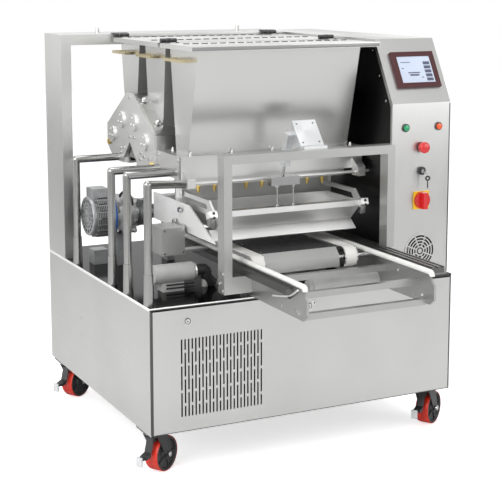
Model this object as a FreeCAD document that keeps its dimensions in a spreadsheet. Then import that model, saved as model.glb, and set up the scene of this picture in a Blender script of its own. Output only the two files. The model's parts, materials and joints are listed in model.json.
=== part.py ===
import FreeCAD, Part
import math
import os
import re
from types import SimpleNamespace

# Chocolate depositor on a wheeled cabinet, millimetres.
# Inside the functions x runs from the cabinet's left side to its right, y from its front face back and
# z up from its bottom edge. place_all moves the whole machine to its own frame: origin on the floor,
# under the middle of the space that the machine takes up.

CABINET = dict(
    cab_width=1200, cab_depth=1071, cab_height=440, sheet=3, deck_thick=8, rim_gap=5,
    post_side=30, pan_thick=4, panel_depth=20, panel_play=4, rivet_radius=5, rivet_height=2,
    slot_wide=5.5, slot_pitch=13, slot_columns=12, slot_left=112, slot_low=54, slot_high=323,
    slot_bridge=10, lock_radius=13, lock_height=3.5, lock_z=381, lock_first=137, lock_pitch=463,
    lock_shank=6, lock_play=0.05, keeper_thick=3, cam_length=25, cam_thick=3, cam_gap=0.3,
)
CASTER = dict(
    caster_height=160, wheel_radius=62, wheel_wide=52, caster_inset=50, caster_back=84, caster_turn=32,
    caster_trail=34, plate_side=100,
    caster_plate=6, fork_thick=4, fork_wide=62, axle_radius=6, wheel_play=0.06, stem_radius=14,
    stem_length=10, stem_play=0.06, pedal_long=76, pedal_thick=4, pedal_wide=28, pedal_drop=14,
    pedal_pin=3, pedal_gap=0.5, pedal_reach=50, pivot_back=8,
)
CONSOLE = dict(
    con_wide=255, con_inset=8, con_front=20, con_high=860, con_knee=635, con_slope=127, con_wall=3,
    hmi_in=40, hmi_wide=181, hmi_tall=140, hmi_deep=12, hmi_edge=17, screen_wide=140,
    screen_tall=104, screen_inset=1.5, control_in=126, button_spread=70, button_z=548, button_radius=11,
    bezel_radius=15, button_out=9, button_play=0.3, stop_z=475, stop_radius=20,
    stop_out=26, stop_collar=6, key_z=389, key_radius=8, mains_z=282, mains_side=65, mains_thick=5,
    knob_radius=30, knob_out=34, fan_z=93, fan_radius=62, fan_hub=14, fan_depth=26, blade_count=5,
    grille_thick=2, ring_pitch=11, ring_slot=6, stem_bore=4,
)
ARCH = dict(
    arch_deep=200, arch_post=40, arch_high=865, stud_radius=7.5, stud_tall=20, stud_left=183,
    stud_right=790,
)
HOPPERS = dict(
    hop_left=240, hop_right=875, hop_top=849.5, hop_wall=3, front_top=127, front_top_end=376,
    front_foot=221, front_foot_end=325, mid_top=415, mid_top_end=611, rear_top=665, rear_top_end=863,
    mid_lean=0.1, rear_lean=0.142, handle_reach=48, handle_wide=140, handle_drop=50, handle_radius=5,
    lid_left=205, lid_right=942, lid_front=105, lid_split=392, lid_thick=2, lid_z=850, lid_fold=14,
    lid_slot_pitch=35, lid_slot_wide=7, lid_slot_long=22, hinge_wide=60, pin_radius=4,
    hinge_inset=6, hinge_shift=25, pin_play=0.06, knuckle_radius=8, crossbar_wide=20, crossbar_tall=12,
)
HEADS = dict(
    head_left=200, head_right=930, head_front=203, head_back=408, head_low=388, head_high=469,
    cover_thick=8, nozzle_plate=34, nozzle_inset=40, nozzle_side=60, nozzle_y=300,
    nozzle_first=313, nozzle_pitch=63,
    nozzle_count=9, nozzle_radius=8, nozzle_long=30, nozzle_bore=3, nut_radius=7, nut_tall=14,
    house_front=408.5, house_back=889, house_low=386, shoulder_z=520, roof_z=656, splash_tall=120,
    house_wall=8, roof_front=603, roof_back=676, side_thick=12, notch_front=582,
    notch_back=713, notch_top=473, notch_foot=406,
    boss_radius=34, boss_out=8, bush_radius=12, rod_y=178, rod_z=377, rod_radius=6, clamp_wide=31,
    clamp_left=210, clamp_right=889, clamp_reach=43, clamp_low=362, clamp_high=426, clamp_nose=396,
    conduit_radius=14, sleeve_radius=18, sleeve_tall=105, conduit_x=18, conduit_z=407,
    conduit_front=48, conduit_head=238, conduit_house=391, conduit_rear=771, clamp_play=0.05,
)
LINE = dict(
    line_front=422, line_back=640, cheek_left=360, cheek_right=843, cheek_thick=8, cheek_low=12,
    cheek_high=113, tip_back=26, tip_up=21, cord_radius=9, cord_start=30, cord_bend=12, cheek_cut=34,
    rail_left_wide=30, rail_right_wide=64, rail_tall=22, rail_front=375, bar_side=21,
    bar_one_y=-115, bar_one_z=82, bar_two_y=-322, bar_two_z=76, bar_three_y=-367, bar_three_z=18,
    bed_left=420, bed_right=717, bed_top=142,
    bed_thick=6, nose_depth=30, roller_radius=34, roller_y=16, roller_z=105, roller_play=0.06,
    shaft_radius=7.5, belt_thick=3, belt_wide=44, belt_left=374, belt_right=738, drive_y=600,
    flange_hole=7, flange_hole_in=70, flange_hole_up=24, stay_side=20, stay_front=70, stay_back=500,
    nose_tall=66, nose_play=3, cord_gap=6,
)
GANTRY = dict(
    gan_left=257, gan_right=924, gan_front=-35, gan_tube=30, gan_deep=50, gan_top=498, gan_low=27,
    gan_right_low=136, foot_thick=8, foot_tall=58, lift_x=560, lift_foot_y=125, lift_foot_z=389,
    lift_lean=18.5, barrel_side=30, barrel_low=46, barrel_long=120, rod_thick=10, lift_stroke=15,
    tilt_left=575, tilt_wide=92, tilt_long=106, tilt_thick=10, tilt_turn=50, yoke_left=508,
    yoke_wide=112, yoke_deep=30, yoke_tall=30, hanger_radius=3, hanger_nut=7, tray_left=290,
    tray_right=864, tray_front=105, tray_back=345, tray_rim=284, tray_floor=218, tray_wall=3,
    lip_tall=20, tray_taper=22, lip_deep=32, arm_z=312, arm_y=376, arm_thick=8, arm_tall=16,
    guard_left=262, guard_thick=5, guard_top=285, guard_low=185, guard_front=50, guard_knee=268,
    guard_back=600, apron_front=110, apron_low=182, apron_high=214, apron_left=285, apron_right=853,
    beam_side=50, apron_arm=14,
)
DRIVES = dict(
    drum_left=560, drum_y=-60, drum_z=30, drum_radius=28, gear_y=700, gear_z=194, motor_left=36, motor_long=82, motor_radius=72,
    fin_count=20, fin_tall=9,
    fin_thick=3, gearcase_long=78, stage_long=70, gearcase_side=130, flange_thick=10, shaft_end=385, drive_radius=14,
    stand_left=345, stand_wide=30, stand_deep=60, foot_side=58, box_left=164, box_wide=86, box_front=279, box_deep=110,
    box_low=108, box_tall=98,
    small_x=100, small_long=150, small_radius=34, small_y=220, small_z=60, hose_radius=11,
)
# Sizes given as heights over the deck. They become heights over the cabinet's bottom edge.
OVER_DECK = (
    "con_high", "con_knee", "button_z", "stop_z", "key_z", "mains_z", "fan_z", "hop_top", "lid_z",
    "head_low", "head_high", "house_low", "shoulder_z", "roof_z", "notch_top", "notch_foot",
    "rod_z", "clamp_low", "clamp_high", "clamp_nose", "conduit_z", "cheek_low", "cheek_high",
    "bar_one_z", "bar_two_z", "bar_three_z", "bed_top", "roller_z", "gan_top", "gan_low",
    "gan_right_low", "lift_foot_z", "tray_rim", "tray_floor", "arm_z", "guard_top", "guard_low",
    "apron_low", "apron_high", "gear_z", "box_low", "small_z", "drum_z",
)
GROUPS = (CABINET, CASTER, CONSOLE, ARCH, HOPPERS, HEADS, LINE, GANTRY, DRIVES)
VALUES = {}
for group in GROUPS:
    VALUES.update(group)
for word in OVER_DECK:
    VALUES[word] += VALUES["cab_height"]
VALUES["con_left"] = VALUES["cab_width"] - VALUES["con_wide"]
VALUES["hmi_left"] = VALUES["con_left"] + VALUES["hmi_in"]
VALUES["control_x"] = VALUES["con_left"] + VALUES["control_in"]
VALUES["arch_front"] = VALUES["cab_depth"] - VALUES["arch_deep"]
S = SimpleNamespace(**VALUES)

DOC = FreeCAD.newDocument("depositor")
SUBPARTS = []
X = FreeCAD.Vector(1, 0, 0)
Y = FreeCAD.Vector(0, 1, 0)
Z = FreeCAD.Vector(0, 0, 1)
TURNS = {"x": (Y, 90), "y": (X, -90), "z": (Z, 0)}


def fill_sheet():
    sheet = DOC.addObject("Spreadsheet::Sheet", "Sizes")
    for row, (alias, value) in enumerate(VALUES.items(), start=1):
        sheet.set(f"A{row}", alias.replace("_", " "))
        sheet.set(f"B{row}", str(value))
        sheet.setAlias(f"B{row}", alias)
    DOC.recompute()


def bound(text):
    """Words that are sizes become references to the sheet."""
    def refer(match):
        word = match.group(0)
        return f"Sizes.{word}" if word in VALUES else word
    return re.sub(r"[a-z_]+", refer, str(text))


def bind(item, **sizes):
    for name, text in sizes.items():
        item.setExpression(name, bound(text))


def put(item, at, turn=None):
    if turn:
        item.Placement = FreeCAD.Placement(FreeCAD.Vector(), FreeCAD.Rotation(*turn))
    for axis, text in zip("xyz", at):
        item.setExpression(f".Placement.Base.{axis}", bound(text))


def box(at, size):
    item = DOC.addObject("Part::Box", "Block")
    bind(item, Length=size[0], Width=size[1], Height=size[2])
    put(item, at)
    return item


def rod(axis, at, radius, length):
    item = DOC.addObject("Part::Cylinder", "Round")
    bind(item, Radius=radius, Height=length)
    put(item, at, TURNS[axis])
    return item


def cone(axis, at, radius, end_radius, length):
    item = DOC.addObject("Part::Cone", "Taper")
    bind(item, Radius1=radius, Radius2=end_radius, Height=length)
    put(item, at, TURNS[axis])
    return item


def shape(form):
    item = DOC.addObject("Part::Feature", "Form")
    item.Shape = form
    return item


def cut(base, *tools):
    item = DOC.addObject("Part::Cut", "Cut")
    item.Base = base
    item.Tool = tools[0] if len(tools) == 1 else group_of(tools)
    return item


def fuse(*items):
    item = DOC.addObject("Part::MultiFuse", "Joined")
    item.Shapes = list(items)
    return item


def group_of(items):
    item = DOC.addObject("Part::Compound", "Set")
    item.Links = list(items)
    return item


def node(label, *items):
    """A sub-part: one solid or a few separate ones, under the name of its file."""
    item = group_of(items)
    item.Label = label
    SUBPARTS.append(item)
    return item


def vec(x, y, z):
    return FreeCAD.Vector(x, y, z)


def prism(points, along):
    wire = Part.makePolygon([vec(*p) for p in points] + [vec(*points[0])])
    return Part.Face(wire).extrude(along)


def turned(profile, at, axis):
    """A solid of revolution: profile holds (radius, distance along the axis) pairs."""
    points = [vec(radius, 0, along) for radius, along in profile]
    face = Part.Face(Part.makePolygon(points + [points[0]]))
    solid = face.revolve(vec(0, 0, 0), Z, 360)
    turn = FreeCAD.Rotation(Z, axis)
    solid.Placement = FreeCAD.Placement(vec(*at), turn)
    return solid


def sketched(body, at, turn, outlines):
    """A sketch of closed outlines in the body, on a plane at the given place and turn."""
    sketch = body.newObject("Sketcher::SketchObject", "Outline")
    sketch.Placement = FreeCAD.Placement(vec(*at), FreeCAD.Rotation(*turn))
    for points in outlines:
        for (a, b), (c, d) in zip(points, points[1:] + points[:1]):
            sketch.addGeometry(Part.LineSegment(vec(a, b, 0), vec(c, d, 0)), False)
    return sketch


def oblong(left, low, wide, tall):
    return [(left, low), (left + wide, low), (left + wide, low + tall), (left, low + tall)]


def feature(body, kind, profile, **settings):
    item = body.newObject(f"PartDesign::{kind}", kind)
    item.Profile = profile
    for name, value in settings.items():
        setattr(item, name, value)
    DOC.recompute()
    return item


def repeated(body, kind, original, **settings):
    item = body.newObject(f"PartDesign::{kind}", kind)
    item.Originals = [original]
    for name, value in settings.items():
        setattr(item, name, value)
    body.Tip = item
    DOC.recompute()
    return item


# Cabinet
def base_frame():
    pan = box(("sheet", "sheet", 0), ("cab_width-2*sheet", "cab_depth-2*sheet", "pan_thick"))
    tall = "cab_height-deck_thick-pan_thick"
    posts = []
    for x in ("sheet", "cab_width-sheet-post_side"):
        for y in ("panel_depth+panel_play", "cab_depth-sheet-post_side"):
            posts.append(box((x, y, "pan_thick"), ("post_side", "post_side", tall)))
    rail = box(("sheet+post_side", "panel_depth+panel_play", "cab_height-deck_thick-post_side"),
               ("cab_width-2*sheet-2*post_side", "post_side", "post_side"))
    keeper = box(("sheet+post_side", "panel_depth+panel_play", "cab_height-deck_thick-post_side-10"),
                 ("cab_width-2*sheet-2*post_side", "keeper_thick", "post_side+10"))
    node("base_frame", fuse(pan, rail, keeper, *posts), *caster_plates())


def cabinet_shell():
    tall = "cab_height-deck_thick"
    block = box((0, 0, 0), ("cab_width", "cab_depth", tall))
    hollow = box(("sheet", -1, -1), ("cab_width-2*sheet", "cab_depth-sheet+1", f"{tall}+2"))
    rivets = [rod("x", ("-rivet_height", y, z), "rivet_radius", "rivet_height+1")
              for y, z in ((699, 247), (696, 180))]
    node("cabinet_shell", fuse(cut(block, hollow), *rivets))


def deck_plate():
    plate = box((0, 0, "cab_height-deck_thick"), ("cab_width", "cab_depth", "deck_thick"))
    node("deck_plate", plate)





def front_panel():
    """The service cover, folded from sheet: a tray with a field of slots and three lock holes."""
    left = S.sheet + S.panel_play
    wide = S.cab_width - 2 * left
    tall = S.cab_height - S.deck_thick - S.rim_gap - S.panel_play
    body = DOC.addObject("PartDesign::Body", "Cover")
    upright = (X, 90)
    face = sketched(body, (0, 0, 0), upright, [oblong(left, S.panel_play, wide, tall)])
    feature(body, "Pad", face, Length=S.panel_depth, Reversed=True)
    hollow = sketched(body, (0, S.panel_depth, 0), upright,
                      [oblong(left + S.sheet, S.panel_play + S.sheet, wide - 2 * S.sheet,
                              tall - 2 * S.sheet)])
    feature(body, "Pocket", hollow, Length=S.panel_depth - S.sheet, Reversed=True)
    slots = sketched(body, (0, 0, 0), upright, slot_pair())
    pocket = feature(body, "Pocket", slots, Length=S.sheet, Reversed=False)
    repeated(body, "LinearPattern", pocket, Direction=(slots, ["H_Axis"]), Occurrences=int(S.slot_columns),
             Length=2 * S.slot_pitch * (S.slot_columns - 1))
    hole = body.newObject("Sketcher::SketchObject", "Outline")
    hole.Placement = FreeCAD.Placement(vec(0, 0, 0), FreeCAD.Rotation(*upright))
    hole.addGeometry(Part.Circle(vec(S.lock_first, S.lock_z, 0), Z, S.lock_shank + S.lock_play), False)
    first = feature(body, "Pocket", hole, Length=S.sheet, Reversed=False)
    repeated(body, "LinearPattern", first, Direction=(hole, ["H_Axis"]), Occurrences=3,
             Length=2 * S.lock_pitch)
    node("front_panel", body)


def slot_pair():
    """Two neighbouring columns of slots, with their bridges half a slot apart."""
    third = (S.slot_high - S.slot_low - 2 * S.slot_bridge) / 3
    half = (third - S.slot_bridge) / 2
    step = third + S.slot_bridge
    low = S.slot_low
    column = [oblong(S.slot_left, low + i * step, S.slot_wide, third) for i in range(3)]
    left = S.slot_left + S.slot_pitch
    column += [oblong(left, low, S.slot_wide, half), oblong(left, S.slot_high - half, S.slot_wide, half)]
    column += [oblong(left, low + half + S.slot_bridge + i * step, S.slot_wide, third) for i in range(2)]
    return column


def panel_locks():
    for i, side in enumerate(("left", "middle", "right")):
        x = f"lock_first+{i}*lock_pitch"
        head = rod("y", (x, "-lock_height", "lock_z"), "lock_radius", "lock_height-0.3")
        slot = box((f"{x}-lock_radius*0.6", "-lock_height-1", "lock_z-1.2"),
                   ("lock_radius*1.2", 2.4, 2.4))
        reach = "panel_depth+panel_play+keeper_thick+cam_gap"
        shank = rod("y", (x, -1, "lock_z"), "lock_shank", f"{reach}+1")
        cam = box((f"{x}-lock_shank", reach, "lock_z-lock_shank"),
                  ("2*lock_shank", "cam_thick", "cam_length"))
        node(f"lock_{side}", fuse(cut(head, slot), shank, cam))


# Casters
def caster_places():
    return (("front_left", "caster_inset", "caster_back"),
            ("front_right", "cab_width-caster_inset", "caster_back"),
            ("rear_left", "caster_inset", "cab_depth-caster_back"),
            ("rear_right", "cab_width-caster_inset", "cab_depth-caster_back"))


def caster_plates():
    parts = []
    for name, x, y in caster_places():
        plate = box((f"{x}-plate_side/2", f"{y}-plate_side/2", "-caster_plate"),
                    ("plate_side", "plate_side", "caster_plate"))
        stem = rod("z", (x, y, "-caster_plate-stem_length"), "stem_radius", "stem_length+1")
        parts.append(fuse(plate, stem))
    return parts


def caster(name, x, y):
    """A swivelling caster, built round its stem with the wheel to the right, then turned and moved."""
    def placed(label, item):
        item = group_of([item])
        put(item, (x, y, 0), (Z, S.caster_turn))
        node(f"{label}_{name}", item)
    placed("fork", fork())
    placed("wheel", wheel())
    placed("pedal", pedal())


def fork():
    axle_z = "wheel_radius-caster_height"
    crown_z = "-caster_plate-stem_length-3"
    crown = rod("z", (0, 0, crown_z), "stem_radius+12", "stem_length+2.5")
    socket = rod("z", (0, 0, f"{crown_z}+2.5"), "stem_radius+stem_play", "stem_length+20")
    bridge = box(("-stem_radius-14", "-fork_wide/2", f"{crown_z}-fork_thick"),
                 ("2*stem_radius+28", "fork_wide", "fork_thick+0.5"))
    drop = S.wheel_radius - S.caster_height + S.caster_plate + S.stem_length + 3
    outline = [(-S.stem_radius - 14, 0), (S.stem_radius + 14, 0), (S.caster_trail + 15, drop + 8),
               (S.caster_trail + 9, drop - 13), (S.caster_trail - 9, drop - 13)]
    cheeks = []
    for side in ("-fork_wide/2", "fork_wide/2-fork_thick"):
        plate = shape(prism([(a, 0, b) for a, b in outline], vec(0, S.fork_thick, 0)))
        put(plate, (0, side, crown_z))
        cheeks.append(plate)
    axle = rod("y", ("caster_trail", "-fork_wide/2-4", axle_z), "axle_radius", "fork_wide+8")
    pivot_x = "-stem_radius-pivot_back"
    pivot_z = f"{crown_z}-pedal_drop"
    ears = box((f"{pivot_x}-6", "-pedal_wide/2-pedal_thick", f"{pivot_z}-6"),
               (12, "pedal_wide+2*pedal_thick", "pedal_drop+5"))
    gap = box((f"{pivot_x}-7", "-pedal_wide/2-pedal_gap", f"{pivot_z}-7"),
              (14, "pedal_wide+2*pedal_gap", "pedal_drop+7-fork_thick"))
    pin = rod("y", (pivot_x, "-pedal_wide/2-pedal_thick", pivot_z), "pedal_pin",
              "pedal_wide+2*pedal_thick")
    return cut(fuse(crown, bridge, axle, cut(ears, gap), pin, *cheeks), socket)


def wheel():
    """Dished wheel with a moulded tread, turned round its axle, with five ribs on each side."""
    half = S.wheel_wide / 2
    bore = S.axle_radius + S.wheel_play
    tread = S.wheel_radius - 12
    profile = [(bore, -half + 1), (18, -half + 1), (22, -half + 9), (tread, -half + 9),
               (tread + 3, -half + 1), (S.wheel_radius - 5, -half), (S.wheel_radius, -half + 6),
               (S.wheel_radius, half - 6), (S.wheel_radius - 5, half), (tread + 3, half - 1),
               (tread, half - 9), (22, half - 9), (18, half - 1), (bore, half - 1)]
    body = DOC.addObject("PartDesign::Body", "Wheel")
    outline = sketched(body, (0, 0, 0), (Z, 0), [profile])
    feature(body, "Revolution", outline, ReferenceAxis=(outline, ["V_Axis"]), Angle=360)
    rib = sketched(body, (0, -half + 4, 0), (X, 90), [oblong(16, -2, tread - 14, 4)])
    pad = feature(body, "Pad", rib, Length=S.wheel_wide - 8, Reversed=True)
    repeated(body, "PolarPattern", pad, Axis=(rib, ["N_Axis"]), Occurrences=5, Angle=360)
    item = group_of([body])
    put(item, ("caster_trail", 0, "wheel_radius-caster_height"))
    return item


def pedal():
    """Brake pedal: a bent bar that hangs from the fork beside the tread and ends in a tip."""
    long = S.pedal_long
    outline = [(-7, -7), (7, -7), (7, 6), (-7, 6), (-22, -long + 34), (-S.pedal_reach, -long + 26),
               (-S.pedal_reach, -long + 16), (-24, -long + 18)]
    bar = prism([(a, 0, b) for a, b in outline], vec(0, S.pedal_wide, 0))
    bar = bar.cut(Part.makeCylinder(S.pedal_pin + S.wheel_play, S.pedal_wide + 2, vec(0, -1, 0), Y))
    form = shape(bar)
    put(form, ("-stem_radius-pivot_back", "-pedal_wide/2", "-caster_plate-stem_length-3-pedal_drop"))
    return form


# Console
def console_profile():
    return [(S.con_front, S.cab_height), (S.cab_depth, S.cab_height), (S.cab_depth, S.con_high),
            (S.con_front + S.con_slope, S.con_high), (S.con_front, S.con_knee)]


def console_shell():
    wide = S.con_wide - S.con_inset
    outer = prism([(S.con_left, y, z) for y, z in console_profile()], vec(wide, 0, 0))
    t = S.con_wall
    slope = math.hypot(S.con_slope, S.con_high - S.con_knee)
    shift = t * slope / (S.con_high - S.con_knee)
    inner_points = [(S.con_front + t, S.cab_height + t), (S.cab_depth - t, S.cab_height + t),
                    (S.cab_depth - t, S.con_high - t)]
    lean = S.con_slope / (S.con_high - S.con_knee)
    inner_points.append((S.con_front + S.con_slope + shift - t * lean, S.con_high - t))
    inner_points.append((S.con_front + t, S.con_knee + (t - shift) / lean))
    inner = prism([(S.con_left + t, y, z) for y, z in inner_points], vec(wide - 2 * t, 0, 0))
    shell = shape(outer.cut(inner))
    holes = [rod("y", (x, "con_front-1", z), radius, "con_wall+2") for x, z, radius in control_holes()]
    node("console_shell", cut(shell, *holes))


def control_holes():
    left = "control_x-button_spread"
    right = "control_x+button_spread"
    return ((left, "button_z", "stem_bore+1"), (right, "button_z", "stem_bore+1"),
            ("control_x", "stop_z", "stem_bore+1"), ("control_x", "key_z", "stem_bore+1"),
            ("control_x", "mains_z", "stem_bore+1"), ("control_x", "fan_z", "fan_radius-2"))


def slope_frame():
    """The frame of the console's sloping face: its lower edge, and the direction up the slope."""
    rise = S.con_high - S.con_knee
    lean = math.degrees(math.atan2(S.con_slope, rise))
    return FreeCAD.Placement(vec(0, S.con_front, S.con_knee), FreeCAD.Rotation(X, -lean))


def slope_block(left, wide, up, tall, out, deep):
    block = Part.makeBox(wide, deep, tall, vec(left, -out, up))
    block.Placement = slope_frame().multiply(block.Placement)
    return block


def hmi():
    up = (math.hypot(S.con_slope, S.con_high - S.con_knee) - S.hmi_tall) / 2
    side = S.hmi_edge
    housing = slope_block(S.hmi_left, S.hmi_wide, up, S.hmi_tall, S.hmi_deep, S.hmi_deep)
    screen_left = S.hmi_left + (S.hmi_wide - S.screen_wide) / 2
    window = slope_block(screen_left, S.screen_wide, up + side, S.screen_tall, S.hmi_deep + 1, 5)
    node("hmi_housing", shape(housing.cut(window)))
    glass = slope_block(screen_left, S.screen_wide, up + side, S.screen_tall,
                        S.hmi_deep - S.screen_inset, 4 - S.screen_inset)
    node("hmi_screen", shape(glass))


def front_round(x, z, radius, out, start=0):
    """A disc or barrel that stands out of the console's front face."""
    return rod("y", (x, f"con_front-({out})", z), radius, f"({out})-({start})")


def push_buttons():
    bezels = []
    for name, sign in (("start_button", "-"), ("stop_button", "+")):
        x = f"control_x{sign}button_spread"
        ring = cut(front_round(x, "button_z", "bezel_radius", 4),
                   front_round(x, "button_z", "button_radius+button_play", 6, -1))
        bezels.append(ring)
        cap = front_round(x, "button_z", "button_radius", "button_out", 4.5)
        stem = rod("y", (x, "con_front-5", "button_z"), "stem_bore", 25)
        node(name, fuse(cap, stem))
    collar = cut(front_round("control_x", "stop_z", "bezel_radius", "stop_collar"),
                 front_round("control_x", "stop_z", "stem_bore+1", 9, -1))
    barrel = cut(front_round("control_x", "key_z", "bezel_radius", 9),
                 front_round("control_x", "key_z", "stem_bore+1", 10, -1))
    node("switch_bezels", *bezels, collar, barrel)


def emergency_stop():
    profile = [(0, 0), (S.stop_radius - 4, 0), (S.stop_radius, 4), (S.stop_radius, 9),
               (S.stop_radius - 4, 14), (0, 16)]
    cap = shape(turned(profile, (0, 0, 0), vec(0, -1, 0)))
    put(cap, ("control_x", "con_front-stop_out+14", "stop_z"))
    stem = rod("y", ("control_x", "con_front-stop_out+10", "stop_z"), "stem_bore", "stop_out+10")
    node("emergency_stop", fuse(cap, stem))


def key_switch():
    plug = front_round("control_x", "key_z", "stem_bore", 12, -12)
    face = rod("y", ("control_x", "con_front-12", "key_z"), "key_radius", 2.5)
    blade = box(("control_x-1", "con_front-34", "key_z-8"), (2, 23, 16))
    node("key", fuse(plug, face, blade))


def main_switch():
    plate = box(("control_x-mains_side/2", "con_front-mains_thick", "mains_z-mains_side/2"),
                ("mains_side", "mains_thick", "mains_side"))
    hole = rod("y", ("control_x", "con_front-mains_thick-1", "mains_z"), "stem_bore+1", "mains_thick+2")
    node("main_switch_plate", cut(plate, hole))
    disc = front_round("control_x", "mains_z", "knob_radius", "mains_thick+12", "mains_thick+0.4")
    grip = box(("control_x-knob_radius*0.3", "con_front-knob_out", "mains_z-knob_radius"),
               ("knob_radius*0.6", "knob_out-mains_thick-6", "2*knob_radius"))
    stem = rod("y", ("control_x", "con_front-mains_thick-4", "mains_z"), "stem_bore", 28)
    node("main_switch_knob", fuse(disc, grip, stem))


def fan():
    disc = Part.makeCylinder(S.fan_radius + 4, S.grille_thick, vec(0, 0, 0), vec(0, -1, 0))
    for ring in range(4):
        outer = S.fan_radius - 4 - ring * S.ring_pitch
        band = Part.makeCylinder(outer, 10, vec(0, 5, 0), vec(0, -1, 0))
        band = band.cut(Part.makeCylinder(outer - S.ring_slot, 10, vec(0, 5, 0), vec(0, -1, 0)))
        for spoke in range(4):
            bar = Part.makeBox(2 * S.fan_radius, 12, 5, vec(-S.fan_radius, -6, -2.5))
            bar.rotate(vec(0, 0, 0), Y, 45 * spoke + 22.5)
            band = band.cut(bar)
        disc = disc.cut(band)
    grille = shape(disc)
    put(grille, ("control_x", "con_front", "fan_z"))
    arm = box(("control_x-fan_radius-10", "con_front+con_wall", "fan_z-5"),
              (12, "fan_depth+14", 10))
    bridge = box(("control_x-fan_radius-10", "con_front+con_wall+fan_depth+8", "fan_z-5"),
                 ("fan_radius+18", 6, 10))
    spindle = rod("y", ("control_x", "con_front+con_wall+8", "fan_z"), 4, "fan_depth+2")
    node("fan_grille", grille, fuse(arm, bridge, spindle))
    hub = Part.makeCylinder(S.fan_hub, S.fan_depth - 6, vec(0, 0, 0), Y)
    for blade in range(int(S.blade_count)):
        vane = Part.makeBox(S.fan_radius - 12, 2, S.fan_depth - 8, vec(4, -1, 0))
        vane.rotate(vec(0, 0, 0), X, -60)
        vane.translate(vec(0, 1, 4))
        vane.rotate(vec(0, 0, 0), Y, 360 / S.blade_count * blade)
        hub = hub.fuse(vane)
    hub = hub.cut(Part.makeCylinder(4.06, 60, vec(0, -20, 0), Y))
    rotor = shape(hub)
    put(rotor, ("control_x", "con_front+con_wall+10", "fan_z"))
    node("fan_rotor", rotor)


# Arch at the back
def arch():
    deep = "cab_depth-arch_front"
    post = box((0, "arch_front", "cab_height"), ("arch_post", deep, "arch_high"))
    beam = box(("arch_post", "arch_front", "cab_height+arch_high-arch_post"),
               ("con_left-arch_post", deep, "arch_post"))
    middle = "(arch_front+cab_depth)/2"
    studs = [rod("z", (x, middle, "cab_height+arch_high"), "stud_radius", "stud_tall")
             for x in ("stud_left", "stud_right")]
    crossbar = box(("hop_left", "lid_split-crossbar_wide/2", "hop_top-crossbar_tall"),
                   ("con_left-hop_left", "crossbar_wide", "crossbar_tall"))
    node("arch_frame", fuse(post, beam, *studs), crossbar)


# Hoppers
def funnel(top, foot, left, right, wall, low, high):
    """An open funnel: top and foot are (front, back) in y at the heights high and low."""
    def ring(front, back, z, inset):
        points = [(left + inset, front + inset, z), (right - inset, front + inset, z),
                  (right - inset, back - inset, z), (left + inset, back - inset, z)]
        return Part.makePolygon([vec(*p) for p in points] + [vec(*points[0])])
    outer = Part.makeLoft([ring(*foot, low, 0), ring(*top, high, 0)], True, True)
    inner = Part.makeLoft([ring(*foot, low, wall), ring(*top, high, wall)], True, True)
    return outer.cut(inner)


def house_profile(wall=0):
    """Outline of the rear dosing head's end, seen along the machine, or the line one wall inside it."""
    low = S.house_low
    half = wall / 2
    third = wall * 0.3
    front = S.house_front + wall
    back = S.house_back - wall
    return [(front, low + wall), (front, S.shoulder_z - half), (S.roof_front + third, S.roof_z - wall),
            (S.roof_back - third, S.roof_z - wall), (back, S.shoulder_z - half), (back, low + 52 + half),
            (S.house_back - 73 - third, low + wall)]


def hoppers():
    front = funnel((S.front_top, S.front_top_end), (S.front_foot, S.front_foot_end),
                   S.hop_left, S.hop_right, S.hop_wall, S.head_high, S.hop_top)
    node("hopper_front", shape(front))
    roof = prism([(S.head_left, y, z) for y, z in house_profile()], vec(S.head_right, 0, 0))
    low = S.shoulder_z
    drop = S.hop_top - low
    for name, top, end, lean in (("middle", S.mid_top, S.mid_top_end, S.mid_lean),
                                 ("rear", S.rear_top, S.rear_top_end, S.rear_lean)):
        shell = funnel((top, end), (top + lean * drop, end - lean * drop),
                       S.hop_left, S.hop_right, S.hop_wall, low, S.hop_top)
        node(f"hopper_{name}", shape(shell.cut(roof)))


def hopper_handles():
    parts = []
    for top, end in ((S.front_top, S.front_top_end), (S.mid_top, S.mid_top_end),
                     (S.rear_top, S.rear_top_end)):
        middle = (top + end) / 2
        half = min(S.handle_wide, end - top - 60) / 2
        z = S.hop_top - S.handle_drop
        reach = S.hop_left - S.handle_reach
        r = S.handle_radius
        loop = Part.makeBox(r, 2 * half, 2 * r, vec(reach, middle - half, z - r))
        for side in (-half, half - 2 * r):
            loop = loop.fuse(Part.makeBox(S.handle_reach, 2 * r, 2 * r, vec(reach, middle + side, z - r)))
        parts.append(shape(loop.removeSplitter()))
    node("hopper_handles", *parts)


def lid_panel(front, back, slot_rows, fold_front):
    wide = S.lid_right - S.lid_left
    lid = Part.makeBox(wide, back - front, S.lid_thick, vec(S.lid_left, front, S.lid_z))
    for left in (S.lid_left, S.lid_right - S.lid_thick):
        lid = lid.fuse(Part.makeBox(S.lid_thick, back - front, S.lid_fold + S.lid_thick,
                                    vec(left, front, S.lid_z - S.lid_fold)))
    if fold_front:
        lid = lid.fuse(Part.makeBox(wide, S.lid_thick, S.lid_fold + S.lid_thick,
                                    vec(S.lid_left, front, S.lid_z - S.lid_fold)))
    count = int((wide - 70) // S.lid_slot_pitch)
    slots = []
    for part in slot_rows:
        y = front + part * (back - front)
        for i in range(count):
            x = S.lid_left + 45 + i * S.lid_slot_pitch
            slots.append(Part.makeBox(S.lid_slot_long, S.lid_slot_wide, 3 * S.lid_thick,
                                      vec(x, y, S.lid_z - S.lid_thick)))
    return lid.cut(Part.makeCompound(slots))


def knuckle(x, y, z, start, long, play):
    barrel = Part.makeCylinder(S.knuckle_radius, long, vec(x + start, y, z), X)
    return barrel.cut(Part.makeCylinder(S.pin_radius + play, long + 2, vec(x + start - 1, y, z), X))


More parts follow.
